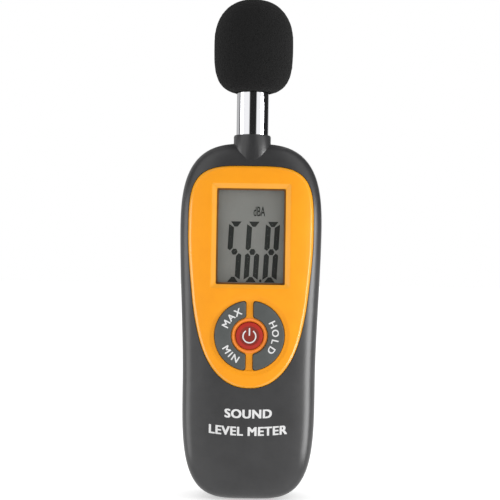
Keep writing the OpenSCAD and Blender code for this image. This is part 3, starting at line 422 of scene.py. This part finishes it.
def plate(name, s, d_front, d_back, dent=None, cols=150, rows=240):
    """A curved plate under the face, from d_front to d_back behind it, with outline inset s."""
    zs = stations(rows, PANEL_FOOT + s, PANEL_TOP - s)
    u = np.sin(np.linspace(-math.pi / 2, math.pi / 2, cols + 1))
    u = 0.45 * u + 0.55 * np.linspace(-1, 1, cols + 1)
    m = cols + 1
    front, back = [], []
    for z in zs:
        x = panel_hw(z, s) * u
        zz = np.full_like(x, z)
        y = front_y(x, zz)
        f = y + d_front + (dent(x, zz) if dent else 0)
        front.append(np.stack([x, f, zz], 1))
        back.append(np.stack([x, y + d_back, zz], 1))
    k = rows * m
    faces = grid_faces(rows, m) + grid_faces(rows, m, k)
    loop = list(range(m)) + [j * m + m - 1 for j in range(1, rows)]
    loop += list(range(k - 2, k - m - 1, -1)) + [j * m for j in range(rows - 2, 0, -1)]
    faces += [(a, b, k + b, k + a) for a, b in zip(loop, loop[1:] + loop[:1])]
    return new_object(name, np.concatenate(front + back), faces)


SCREWS = [(20.0, 117.0), (-20.0, 117.0), (19.58, 26.0), (-19.58, 26.0)]
DOOR_HW, DOOR_LOW, DOOR_HIGH, DOOR_SCREW_Z = 15.5, 10.0, 73.0, 14.0


def collar_half(y0, y1):
    """The round collar above the case, with the half between depths y0 and y1 cut away."""
    r, top, low, high = COLLAR_R, COLLAR_TOP, 120, 150
    collar = lathe("c", [(0, COLLAR_LOW), (r, COLLAR_LOW), (r, top - 0.75), (r - 0.22, top - 0.22),
                         (r - 0.75, top), (0, top)], 96)
    return combine(collar, [box("t", -9, 9, y0, y1, low, high)])


def tube_bore():
    r, low, high = TUBE_R + 0.03, 120, 150
    return lathe("b", [(0, low), (r, low), (r, high), (0, high)], 96)


def window_box(name, hw, y0, y1, hh):
    """A box round the middle of the window, hw and hh from it to each side."""
    return box(name, -hw, hw, y0, y1, WINDOW_Z - hh, WINDOW_Z + hh)


def make_front_case():
    shell = half_shell("shell_front", -1)
    combine(shell, [collar_half(0, 9), window_box("r", 15.9, -10.2, -7.75, 21.2)], "UNION")
    combine(shell, [plate("p", -0.15, -8.0, POCKET, None, 110, 180)])
    combine(shell, [tube_bore(),
                    window_box("w", 13.9, -16, -7, 19.2),
                    window_box("l", 14.5, -8.8, -5, 19.8),
                    bar_y("k", 0, KEYS_Z, -16, -9, RING_R + 1.6)])
    return shell


def make_rear_case():
    shell = half_shell("shell_rear", 1)
    added = [collar_half(-9, 0),
             box("a", -14.85, 14.85, -1.25, 17.6, 17.4, 77.2), box("r", -17.2, 17.2, 15.8, 18, 8.3, 75),
             bar_y("i", 0, DOOR_SCREW_Z, 11.6, 16.3, 4.1), bar_y("t", 0, TRIPOD_Z, 10.3, 17.8, 6.0),
             bar_y("g", TRIMMER_X, TRIMMER_Z, 3.6, 17.8, 3.1)]
    added += [bar_y("s", x, z, 1, 16.5 if z > 70 else 15.5, 3.7) for x, z in SCREWS]
    combine(shell, added, "UNION")
    outside = 22
    cuts = [tube_bore(),
            box("c", -13.65, 13.65, -0.05, 17.7, 18.6, 76),
            prism_y("d", round_rect(DOOR_HW + 0.15, DOOR_LOW - 0.15, DOOR_HIGH + 0.15, 0.6), 17.6, outside),
            bar_y("i", 0, DOOR_SCREW_Z, 12.2, outside, 2.63), bar_y("p", 0, DOOR_SCREW_Z, 16.3, outside, 3.9),
            bar_y("t", 0, TRIPOD_Z, 11.4, outside, 4.63), bar_y("g", TRIMMER_X, TRIMMER_Z, 0, outside, 2.1),
            prism_y("l", round_rect(14.1, 97.4, 122.6, 1.6), 19.2, outside),
            box("n", -5.5, 5.5, 1.0, 3.6, 75, 78.5)]
    cuts += [bar_y("s", x, z, 8, outside, 2.95) for x, z in SCREWS]
    return combine(shell, cuts)


# ---------------------------------------------------------------- front panel
def panel_edge_depth(x, z):
    """How far the face sinks along its rounded edge and along the sloping band round the window."""
    hw, step = np.maximum(panel_hw(z), 0.01), 0.2
    slope = np.abs(panel_hw(z + step) - panel_hw(z - step)) / (2 * step)
    side = (hw - np.abs(x)) / np.sqrt(1 + slope ** 2)
    edge = np.minimum(side, np.minimum(PANEL_TOP - z, z - PANEL_FOOT) * 1.5)
    rim = 0.75 * np.clip(1 - edge / 1.25, 0, 1) ** 1.3
    dx = np.abs(x) - WINDOW_W / 2
    dz = np.maximum(z - (WINDOW_Z + WINDOW_H / 2), ((WINDOW_Z - WINDOW_H / 2) - z) * 1.35)
    window = 0.8 * np.clip(1 - np.maximum(dx, dz) / 2.0, 0, 1)
    return rim + window


def panel_dent(x, z):
    """How far the face sinks at its edges and round the keys."""
    r = np.hypot(x, z - KEYS_Z)
    keys = 0.35 * ease((16.0 - r) / 1.6) + 0.5 * ease((13.9 - r) / 0.5)
    return panel_edge_depth(x, z) + keys


def key_outline(g):
    """The left curved key grown by g on every side, as (x, z) points."""
    ro, ri, xb, r = RING_R + g, RING_HOLE_R - g, -(BAR_W / 2 - g), 1.0
    co, ci = ro - r, ri + r
    zo, zi = math.sqrt(co ** 2 - (xb - r) ** 2), math.sqrt(ci ** 2 - (xb - r) ** 2)
    ao, ai = math.degrees(math.atan2(zo, xb - r)), math.degrees(math.atan2(zi, xb - r))
    pts = arc(0, 0, ro, ao, 360 - ao, 64) + arc(xb - r, -zo, r, 360 - ao, 360, 8)[1:]
    pts += arc(xb - r, -zi, r, 0, 180 - ai, 8) + arc(0, 0, ri, 360 - ai, ai, 48)[1:]
    pts += arc(xb - r, zi, r, ai - 180, 0, 8)[1:] + arc(xb - r, zo, r, 0, ao, 8)[:-1]
    return [(x, z + KEYS_Z) for x, z in pts]


def make_panel():
    panel = plate("panel_face", 0.0, -PANEL_PROUD, POCKET - 0.03, panel_dent)
    left = key_outline(0.0)
    right = [(-x, z) for x, z in reversed(left)]
    ahead, behind = -16, -4
    hw, z0, z1 = WINDOW_W / 2, WINDOW_Z - WINDOW_H / 2, WINDOW_Z + WINDOW_H / 2
    opening = [[(x, y, z) for x, z in round_rect(hw - g, z0 + g, z1 - g, 0.6)]
               for g, y in ((-0.1, ahead), (0.1, -11), (0.1, behind))]
    combine(panel, [stack("w", opening),
                    prism_y("a", left, ahead, behind), prism_y("b", right, ahead, behind),
                    bar_y("c", 0, KEYS_Z, ahead, behind, 6.85, 96)], sharp=30)
    # The ring's darker, redder orange is painted shade and a painted reflection of the red key.
    ring = lathe("panel_ring", [(5.5, -10.9), (6.84, -10.9), (6.84, -12.3), (6.7, -12.46), (6.45, -12.5),
                                (5.95, -12.3), (5.62, -12.05), (5.5, -11.9), (5.5, -10.9)], 128,
                 (0, 0, KEYS_Z), "y", 40)
    panel.data.materials.clear()
    for key in ("panel", "panel_edge"):
        panel.data.materials.append(MATERIALS[key])
    # Faces on the rounded edge and on the band round the window get the paler orange of the painted
    # highlight.
    xyz = np.array([p.center[:] for p in panel.data.polygons]) / MM + ORIGIN
    rim = panel_edge_depth(xyz[:, 0], xyz[:, 2]) > 0.03
    panel.data.polygons.foreach_set("material_index", rim.astype(int))
    return panel, ring


# ---------------------------------------------------------------- keys
def stack(name, rings, sharp=30):
    """Closed rings of equal length joined into a solid, capped at both ends."""
    n = len(rings[0])
    pts = [p for r in rings for p in r]
    faces = grid_faces(len(rings), n, closed=True) + [tuple(range(n)), tuple(range(len(pts) - n, len(pts)))]
    return new_object(name, pts, faces, True, sharp)


def make_curved_key(name, side):
    """A curved key with its flange and stem; side is 1 for the left one and -1 for the right."""
    flange = 0.8
    steps = [(flange, KEY_FLANGE_Y), (flange, KEY_FLANGE_TOP), (-KEY_GAP, KEY_FLANGE_TOP),
             (-KEY_GAP, KEY_TOP + 0.45), (-KEY_GAP - 0.08, KEY_TOP + 0.2),
             (-KEY_GAP - 0.3, KEY_TOP + 0.05), (-KEY_GAP - 0.6, KEY_TOP)]
    rings = [[(side * x, y, z) for x, z in key_outline(g)] for g, y in steps]
    key = stack(name, rings)
    return combine(key, [bar_y("s", -side * STEM_X, KEYS_Z, -9.85, STEM_END, STEM_R)], "UNION")


def make_power_key():
    """The round key, with its raised rim in a brighter red as a painted highlight."""
    rim_r = 3.9
    cap_ = lathe("power_cap", [(0, KEY_FLANGE_Y), (5.95, KEY_FLANGE_Y), (5.95, KEY_FLANGE_TOP),
                               (5.3, KEY_FLANGE_TOP), (5.3, -12.72), (5.2, -12.86), (5.05, -12.92),
                               (4.0, -13.16), (3.85, -13.14), (3.6, -13.06), (0, -13.0)], 128,
                 (0, 0, KEYS_Z), "y", 40)
    stem = bar_y("s", 0, KEYS_Z, -9.9, STEM_END, STEM_R)
    combine(cap_, [stem], "UNION")
    cap_.data.materials.clear()
    for key in ("power", "power_rim_highlight"):
        cap_.data.materials.append(MATERIALS[key])
    centre = Vector(place([(0, 0, KEYS_Z)])[0])
    # Faces outside rim_r get the brighter red of the painted highlight.
    for poly in cap_.data.polygons:
        c = poly.center - centre
        poly.material_index = 1 if math.hypot(c.x, c.z) > rim_r * MM else 0
    return cap_


def power_symbol():
    """A ring open at the top with an upright bar, printed on the power key."""
    y = -13.14
    outer, inner, steps = 2.75, 2.25, 60
    ang = np.linspace(90 + 34, 90 + 326, steps)
    pts = [(r * math.cos(math.radians(a)), y, KEYS_Z - 0.15 + r * math.sin(math.radians(a)))
           for r in (outer, inner) for a in ang]
    faces = [(i, i + 1, steps + i + 1, steps + i) for i in range(steps - 1)]
    n = len(pts)
    pts += [(x, y - 0.004, KEYS_Z + z) for x, z in round_rect(0.27, 0.1, 3.1, 0.25, 5)]
    faces.append(tuple(range(n, len(pts))))
    return new_object("power_symbol", pts, faces, False)


# ---------------------------------------------------------------- lettering
def glyphs(text, size, spacing=1.0, bold=0.03):
    """A word as flat sheets stacked to a bolder weight: (x, z, lift) points, faces and width."""
    curve = bpy.data.curves.new("word", "FONT")
    curve.body, curve.size, curve.space_character = text, 1.0, spacing
    curve.resolution_u = 4
    obj = bpy.data.objects.new("word", curve)
    scene.collection.objects.link(obj)
    bpy.context.view_layer.update()
    mesh = obj.to_mesh()
    v = np.array([p.co[:2] for p in mesh.vertices])
    faces = [tuple(p.vertices) for p in mesh.polygons]
    obj.to_mesh_clear()
    bpy.data.objects.remove(obj)
    bpy.data.curves.remove(curve)
    lo, hi = v.min(0), v.max(0)
    v = (v - [lo[0], lo[1]]) * (size / (hi[1] - lo[1]))
    n, out, sheets = len(v), [], []
    for k, (dx, dz) in enumerate(((0, 0), (-1, -0.5), (1, 0.5), (-1, 0.5), (1, -0.5))):
        x, z = v[:, 0] + dx * bold * size, v[:, 1] + dz * bold * size
        out.append(np.stack([x, z, np.full(n, 0.002 * k)], 1))
        sheets += [tuple(n * k + i for i in f) for f in faces]
    out = np.concatenate(out)
    out[:, 0] -= out[:, 0].min()
    return out, sheets, out[:, 0].max()


def word_on(name, text, size, width, lay, **style):
    v, faces, w = glyphs(text, size, **style)
    v[:, 0] = v[:, 0] * (width / w) - width / 2
    return new_object(name, lay(v), faces, False)


def ring_word(name, text, size, radius, start, step, y, outward=True):
    """Letters set one by one round the key ring; start and step are angles in degrees."""
    pts, faces = [], []
    for i, ch in enumerate(text):
        v, f, w = glyphs(ch, size, bold=0.03)
        a = math.radians(start + step * i)
        up = Vector((math.cos(a), math.sin(a))) * (1 if outward else -1)
        right = Vector((up.y, -up.x))
        base = Vector((math.cos(a), math.sin(a))) * radius
        n = len(pts)
        for px, pz, lift in v:
            q = base + right * (px - w / 2) + up * (pz - size / 2)
            pts.append((q.x, y - lift, KEYS_Z + q.y))
        faces += [tuple(n + k for k in t) for t in f]
    return new_object(name, pts, faces, False)


def face_word(name, text, size, width, z, smile):
    """A line of print on the lower case, lifted towards its ends by smile."""
    def lay(v):
        u = v[:, 0] / (width / 2)
        zz = z + v[:, 1] - size / 2 + smile * u ** 2
        return np.stack([v[:, 0], front_y(v[:, 0], zz) - 0.03 - v[:, 2], zz], 1)
    return word_on(name, text, size, width, lay, spacing=1.08, bold=0.058)


# ---------------------------------------------------------------- display
DIGIT_W, DIGIT_H, STROKE, LEAN = 5.6, 23.9, 2.05, 0.05
SEGMENTS = {"5": "afgcd", "6": "afgecd", "8": "abcdefg"}


def segment_shapes():
    """The seven bars of one digit as flat outlines, in a box DIGIT_W by DIGIT_H."""
    w, h, t, g = DIGIT_W, DIGIT_H, STROKE, 0.14
    m = h / 2
    top = [(t * 0.35, h), (w - t * 0.35, h), (w - t - g, h - t), (t + g, h - t)]
    left_up = [(0, h - t * 0.5), (t, h - t - g * 2), (t, m + t * 0.8), (t * 0.5, m + 0.5), (0, m + t * 0.6)]
    b = 1.15
    middle = [(w / 2 - b * 0.55, m + b), (w / 2 + b * 0.55, m + b), (w / 2 + b * 1.1, m),
              (w / 2 + b * 0.55, m - b), (w / 2 - b * 0.55, m - b), (w / 2 - b * 1.1, m)]

    def flip_x(bar):
        return [(w - x, z) for x, z in reversed(bar)]

    def flip_z(bar):
        return [(x, h - z) for x, z in reversed(bar)]

    return {"a": top, "f": left_up, "b": flip_x(left_up), "g": middle, "e": flip_z(left_up),
            "c": flip_x(flip_z(left_up)), "d": flip_z(top)}


def make_digits():
    """The reading, its point and its unit, between the lens and the front glass."""
    y, foot = DIGITS_Y, 86.5
    shapes = segment_shapes()
    pts, faces = [], []
    for ch, x0 in (("5", -9.8), ("6", -2.7), ("8", 4.7)):
        for seg in SEGMENTS[ch]:
            n = len(pts)
            pts += [(x0 + x + LEAN * z, y, foot + z) for x, z in shapes[seg]]
            faces.append(tuple(range(n, len(pts))))
    n = len(pts)
    pts += [(3.95 + 0.5 * math.cos(a), y, 87.1 + 0.6 * math.sin(a)) for a in np.linspace(0, 6.1, 12)]
    faces.append(tuple(range(n, len(pts))))
    digits = new_object("lcd_digits", pts, faces, False)
    unit = word_on("lcd_unit", "dBA", 3.7, 4.6,
                   lambda v: np.stack([v[:, 0] + 3.2, y - v[:, 2], v[:, 1] + 112.6], 1), bold=0.02)
    return digits, unit


def make_window_shade_band():
    """A brown band round the window on the lens: painted shade for the shadowed walls of the window recess.
    """
    hw, z0, z1 = WINDOW_W / 2, WINDOW_Z - WINDOW_H / 2, WINDOW_Z + WINDOW_H / 2
    rings = [round_rect(hw - g, z0 + g, z1 - g, 0.5) for g in (-0.4, 0.7)]
    n = len(rings[0])
    pts = [(x, LENS_EDGE_Y, z) for ring in rings for x, z in ring]
    return new_object("window_shade_band", pts, grid_faces(2, n, closed=True), False)


# ---------------------------------------------------------------- windscreen and tube
def screen_profile():
    """(radius, height) from the bore's blind end, down the bore, round the outside to the crown."""
    bore = TUBE_R + 0.06
    pts = [(0, 181.7), (bore - 0.4, 181.7), (bore, 181.3)]
    pts += [(bore, z) for z in np.linspace(178, 165, 8)]
    pts += [(bore, SCREEN_LOW + 1.9), (bore + 0.12, SCREEN_LOW + 1.3), (7.0, SCREEN_LOW + 0.95),
            (7.7, SCREEN_LOW + 0.72)]
    low_e, high_e = 2 / 3.4, 2 / 2.3
    below, above = SCREEN_MID - SCREEN_LOW, SCREEN_TOP - SCREEN_MID
    lo = [(SCREEN_R * math.cos(a) ** low_e, SCREEN_MID - below * math.sin(a) ** low_e)
          for a in np.radians(np.linspace(76, 0, 30))]
    hi = [(SCREEN_R * math.cos(a) ** high_e, SCREEN_MID + above * math.sin(a) ** high_e)
          for a in np.radians(np.linspace(3, 89.5, 46))]
    return pts + lo + hi + [(0, SCREEN_TOP)]


def make_windscreen():
    """The foam ball: the turned shape with a shallow, uneven cell relief pushed inwards."""
    foam = lathe("foam_windscreen", screen_profile(), 200, sharp=None)
    tex = bpy.data.textures.new("cells", "CLOUDS")
    tex.noise_scale, tex.noise_depth = 0.0011, 3
    mod = foam.modifiers.new("cells", "DISPLACE")
    mod.texture, mod.strength, mod.mid_level, mod.texture_coords = tex, 0.00028, 1.0, "LOCAL"
    return foam


def make_tube():
    inner = TUBE_R - TUBE_WALL
    return lathe("tube_sleeve", [(inner, TUBE_LOW), (TUBE_R - 0.1, TUBE_LOW), (TUBE_R, TUBE_LOW + 0.1),
                                 (TUBE_R, TUBE_TOP - 0.1), (TUBE_R - 0.1, TUBE_TOP), (inner, TUBE_TOP),
                                 (inner, TUBE_LOW)], 192, sharp=30)


def make_tripod_insert():
    """A brass bush with a helical thread cut in its bore."""
    pitch, crest, root, lip = 1.27, 2.8, 3.12, 0.05
    seg, rows, run_out = 72, 72, 5
    mouth, floor_y = REAR_D, REAR_D - 7.5
    top = mouth - 0.3
    pts = []
    for j in range(rows + 1):
        y = top + (floor_y - top) * j / rows
        fade = min(1.0, j / run_out, (rows - j) / run_out)
        for i in range(seg):
            turn = (y / pitch + i / seg) % 1.0
            groove = min(max(1.5 * (1 - abs(2 * turn - 1)) - 0.25, 0.0), 1.0)
            r = crest + lip * (1 - fade) + (root - crest) * groove * fade
            a = 2 * math.pi * i / seg
            pts.append((r * math.cos(a), y, TRIPOD_Z + r * math.sin(a)))
    thread = new_object("insert_thread", pts, grid_faces(rows + 1, seg, closed=True), True, 30)
    back = root + lip
    bush = lathe("insert_bush", [(0, floor_y), (back, floor_y), (back, mouth - 0.36), (crest + lip, top),
                                 (root + 0.15, mouth), (4.4, mouth), (4.6, mouth - 0.2), (4.6, mouth - 8),
                                 (0, mouth - 8)], 96, (0, 0, TRIPOD_Z), "y", 35)
    return thread, bush


def make_label_rules():
    """Plain printed rules on the rear label."""
    y, left = REAR_D - 0.3 + 0.255, -11.5
    thick, thin = 0.5, 0.25
    pts, faces = [], []
    rules = ((11.5, thick), (11.5, thin), (11.5, thin), (8.0, thin), (11.5, thin), (6.0, thin))
    for i, (hw, h) in enumerate(rules):
        z = 118.2 - 3.1 * i
        right = 2 * hw + left
        n = len(pts)
        pts += [(x, y, zz) for x, zz in ((left, z), (right, z), (right, z + h), (left, z + h))]
        faces.append((n, n + 1, n + 2, n + 3))
    return new_object("label_rules", pts, faces, False)


def banded(mat, low, high, colours):
    """Recolours a material in bands along the height, in model millimetres from low to high."""
    tree = mat.node_tree
    bsdf = tree.nodes["Principled BSDF"]
    coord = add(tree, "ShaderNodeTexCoord")
    split = add(tree, "ShaderNodeSeparateXYZ")
    span = add(tree, "ShaderNodeMapRange",
               From_Min=(low - TRIPOD_Z) * MM, From_Max=(high - TRIPOD_Z) * MM)
    ramp = add(tree, "ShaderNodeValToRGB")
    ramp.color_ramp.interpolation = "CONSTANT"
    els = ramp.color_ramp.elements
    while len(els) < len(colours):
        els.new(0.5)
    for el, (at, colour) in zip(els, colours):
        el.position, el.color = at, colour
    tree.links.new(coord.outputs["Object"], split.inputs[0])
    tree.links.new(split.outputs["Z"], span.inputs["Value"])
    tree.links.new(span.outputs["Result"], ramp.inputs["Fac"])
    tree.links.new(ramp.outputs["Color"], bsdf.inputs["Base Color"])


# ---------------------------------------------------------------- build
def piece(obj, body, key=None, nodes_=()):
    """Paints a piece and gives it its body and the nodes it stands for."""
    if key:
        paint(obj, key)
    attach(obj, body)
    if nodes_:
        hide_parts(*nodes_)
    return obj


piece(make_front_case(), "meter", "case", ["front_case"])
piece(make_rear_case(), "meter", "case", ["rear_case"])
panel_obj, ring_obj = make_panel()
piece(panel_obj, "meter", None, ["front_panel"])
piece(ring_obj, "meter", "ring", ["front_panel"])
piece(make_curved_key("key_left", 1), "max_min_key_body", "key", ["max_min_key"])
piece(make_curved_key("key_right", -1), "hold_key_body", "key", ["hold_key"])
piece(make_power_key(), "power_key_body", None, ["power_key"])
LEGEND_Y, LEGEND_H, PRINT_H = KEY_TOP - 0.02, 2.6, 3.3
PRINTS = (
    (power_symbol(), "power_key_body"),
    (ring_word("legend_max", "MAX", LEGEND_H, 10.2, 153.5, -18.3, LEGEND_Y), "max_min_key_body"),
    (ring_word("legend_min", "MIN", LEGEND_H, 10.3, 211.5, 13.6, LEGEND_Y, False), "max_min_key_body"),
    (ring_word("legend_hold", "HOLD", LEGEND_H, 10.2, 26.5, -19.7, LEGEND_Y), "hold_key_body"),
    (face_word("print_upper", "SOUND", PRINT_H, 18.5, 35.2, 0.35), "meter"),
    (face_word("print_lower", "LEVEL METER", PRINT_H, 30.6, 28.4, 0.9), "meter"),
)
for print_obj, print_body in PRINTS:
    piece(print_obj, print_body, "print", ())
digits_obj, unit_obj = make_digits()
# The brown band round the window is painted shade.
piece(make_window_shade_band(), "meter", "window_shade", ())
piece(digits_obj, "meter", "ink", ())
piece(unit_obj, "meter", "ink", ())
foam_obj = piece(make_windscreen(), "windscreen_body", "foam", ["windscreen"])
piece(make_tube(), "meter", "chrome", ["mic_tube"])

BARE_METAL = srgb(150, 150, 154)
BATTERY_LOW, BATTERY_HIGH = 19, 65.4
banded(MATERIALS["battery"], BATTERY_LOW, BATTERY_HIGH,
       [(0.0, BARE_METAL), (0.04, srgb(26, 34, 74)), (0.62, srgb(206, 160, 62)),
        (0.66, srgb(30, 30, 34)), (0.95, BARE_METAL)])
thread_obj, bush_obj = make_tripod_insert()
piece(thread_obj, "meter", "brass", ["tripod_insert"])
piece(bush_obj, "meter", "brass", ["tripod_insert"])
piece(make_label_rules(), "meter", "ink", ())

NODE_LOOKS = {
    "mic_grid": "chrome", "mic_capsule": "steel", "mic_holder": "rubber", "mic_lead_signal": "red",
    "mic_lead_ground": "black", "case_screws": "steel", "rear_label": "label", "window_lens": "lens",
    "lcd_front_glass": "display", "lcd_rear_glass": "display", "lcd_reflector": "display",
    "lcd_strip_upper": "strip", "lcd_strip_lower": "strip", "lcd_frame": "ivory", "max_min_plunger": "steel",
    "hold_plunger": "steel", "power_plunger": "steel", "max_min_switch": "black", "hold_switch": "black",
    "power_switch": "black", "main_board": "board", "board_screws": "steel", "controller_chip": "black",
    "amplifier_chip": "black", "detector_chip": "black", "crystal": "steel", "capacitors": "blue",
    "shield_can": "steel", "trimmer_body": "blue", "trimmer_rotor": "ivory", "battery": "battery",
    "battery_terminals": "steel", "battery_snap": "black", "snap_contacts": "steel",
    "battery_lead_red": "red", "battery_lead_black": "black",
    "battery_door": "case", "door_screw": "steel", "door_insert": "brass",
}
for node_name, look in NODE_LOOKS.items():
    obj = nodes[node_name]
    paint(obj, look)
    obj.data.polygons.foreach_set("use_smooth", [True] * len(obj.data.polygons))
    obj.data.set_sharp_from_angle(angle=math.radians(30))


# ---------------------------------------------------------------- studio
# What gloss sees round the horizon: (degrees from straight in front, brightness)
CARDS = [(-180, 0.03), (-167, 0.03), (-160, 0.5), (-114, 0.5), (-109, 0.02), (-85, 0.02),
         (-78, 1.0), (-27, 1.0), (-20, 0.02), (24, 0.02), (31, 1.0), (80, 1.0),
         (86, 0.02), (148, 0.02), (156, 1.0), (160, 1.0), (167, 0.03), (180, 0.03)]


def make_world():
    """White surroundings; gloss sees four upright dark cards and a grey one instead."""
    world = bpy.data.worlds.new("studio")
    scene.world = world
    world.use_nodes = True
    tree = world.node_tree
    tree.nodes.clear()
    out = tree.nodes.new("ShaderNodeOutputWorld")
    coord = tree.nodes.new("ShaderNodeTexCoord")
    split = tree.nodes.new("ShaderNodeSeparateXYZ")
    turn = add(tree, "ShaderNodeMath", operation="ARCTAN2")
    back = add(tree, "ShaderNodeMath", operation="MULTIPLY")
    back.inputs[1].default_value = -1.0
    link_ = tree.links.new
    link_(coord.outputs["Generated"], split.inputs[0])
    link_(split.outputs["X"], turn.inputs[0])
    link_(split.outputs["Y"], back.inputs[0])
    link_(back.outputs[0], turn.inputs[1])
    to_unit = add(tree, "ShaderNodeMapRange", From_Min=-math.pi, From_Max=math.pi)
    link_(turn.outputs[0], to_unit.inputs["Value"])
    ramp = tree.nodes.new("ShaderNodeValToRGB")
    ramp.color_ramp.interpolation = "LINEAR"
    els = ramp.color_ramp.elements
    while len(els) < len(CARDS):
        els.new(0.5)
    for el, (deg, v) in zip(els, CARDS):
        el.position, el.color = (deg + 180) / 360, (v, v, v, 1)
    link_(to_unit.outputs[0], ramp.inputs["Fac"])
    plain = tree.nodes.new("ShaderNodeBackground")
    plain.inputs["Color"].default_value, plain.inputs["Strength"].default_value = (1, 1, 1, 1), 1.0
    cards = tree.nodes.new("ShaderNodeBackground")
    low = add(tree, "ShaderNodeMapRange", From_Min=0.05, From_Max=-0.12, To_Min=0.0, To_Max=0.75)
    level = add(tree, "ShaderNodeMath", operation="MAXIMUM")
    link_(split.outputs["Z"], low.inputs["Value"])
    link_(ramp.outputs["Color"], level.inputs[0])
    link_(low.outputs["Result"], level.inputs[1])
    link_(level.outputs[0], cards.inputs["Color"])
    path = tree.nodes.new("ShaderNodeLightPath")
    mix = tree.nodes.new("ShaderNodeMixShader")
    link_(path.outputs["Is Glossy Ray"], mix.inputs["Fac"])
    link_(plain.outputs[0], mix.inputs[1])
    link_(cards.outputs[0], mix.inputs[2])
    link_(mix.outputs[0], out.inputs["Surface"])


def area_light(name, pos, target, size, power):
    data = bpy.data.lights.new(name, "AREA")
    data.shape, data.size, data.size_y, data.energy = "RECTANGLE", size[0], size[1], power
    obj = bpy.data.objects.new(name, data)
    scene.collection.objects.link(obj)
    obj.location = pos
    obj.rotation_mode = "QUATERNION"
    obj.rotation_quaternion = (Vector(target) - Vector(pos)).to_track_quat("-Z", "Y")
    return obj


def make_floor():
    """A wide pale floor just under the foot, which gloss doesn't see."""
    low = cad_box[0][2] - 0.0002
    n, half = 12, 3.0
    line = [half * (2 * i / n - 1) for i in range(n + 1)]
    pts = [(x, y, low) for y in line for x in line]
    mesh = bpy.data.meshes.new("floor")
    mesh.from_pydata(pts, [], grid_faces(n + 1, n + 1))
    obj = bpy.data.objects.new("floor", mesh)
    scene.collection.objects.link(obj)
    mat, _, bsdf = nodes_of("floor")
    bsdf.inputs["Base Color"].default_value = (0.75, 0.75, 0.75, 1)
    bsdf.inputs["Emission Color"].default_value = (1, 1, 1, 1)
    bsdf.inputs["Emission Strength"].default_value = 0.45
    bsdf.inputs["Roughness"].default_value = 0.9
    bsdf.inputs["Specular IOR Level"].default_value = 0.0
    mesh.materials.append(mat)
    obj.visible_glossy = False


def make_camera():
    """Level with the middle of the picture, half a metre in front, with the object's slight lean."""
    distance, eye_z, lean = 0.5, 99.2, math.radians(0.875)
    data = bpy.data.cameras.new("camera")
    data.lens, data.sensor_width = 90, 36
    cam = bpy.data.objects.new("camera", data)
    scene.collection.objects.link(cam)
    spot = place([(-0.27, 0, eye_z)])[0]
    cam.location = (spot[0], spot[1] - distance, spot[2])
    level = Matrix.Rotation(math.radians(90), 3, "X")
    cam.rotation_euler = (level @ Matrix.Rotation(lean, 3, "Z")).to_euler()
    data.clip_start, data.clip_end = 0.01, 20
    scene.camera = cam


make_world()
make_floor()
make_camera()
AIM, PANE = tuple(place([(0, 0, 50)])[0]), (0.3, 0.5)
area_light("left", (-0.6, -0.06, -0.08), AIM, PANE, 1.2)
area_light("right", (0.6, -0.2, -0.1), AIM, PANE, 4.0)
scene.view_settings.view_transform = "Standard"
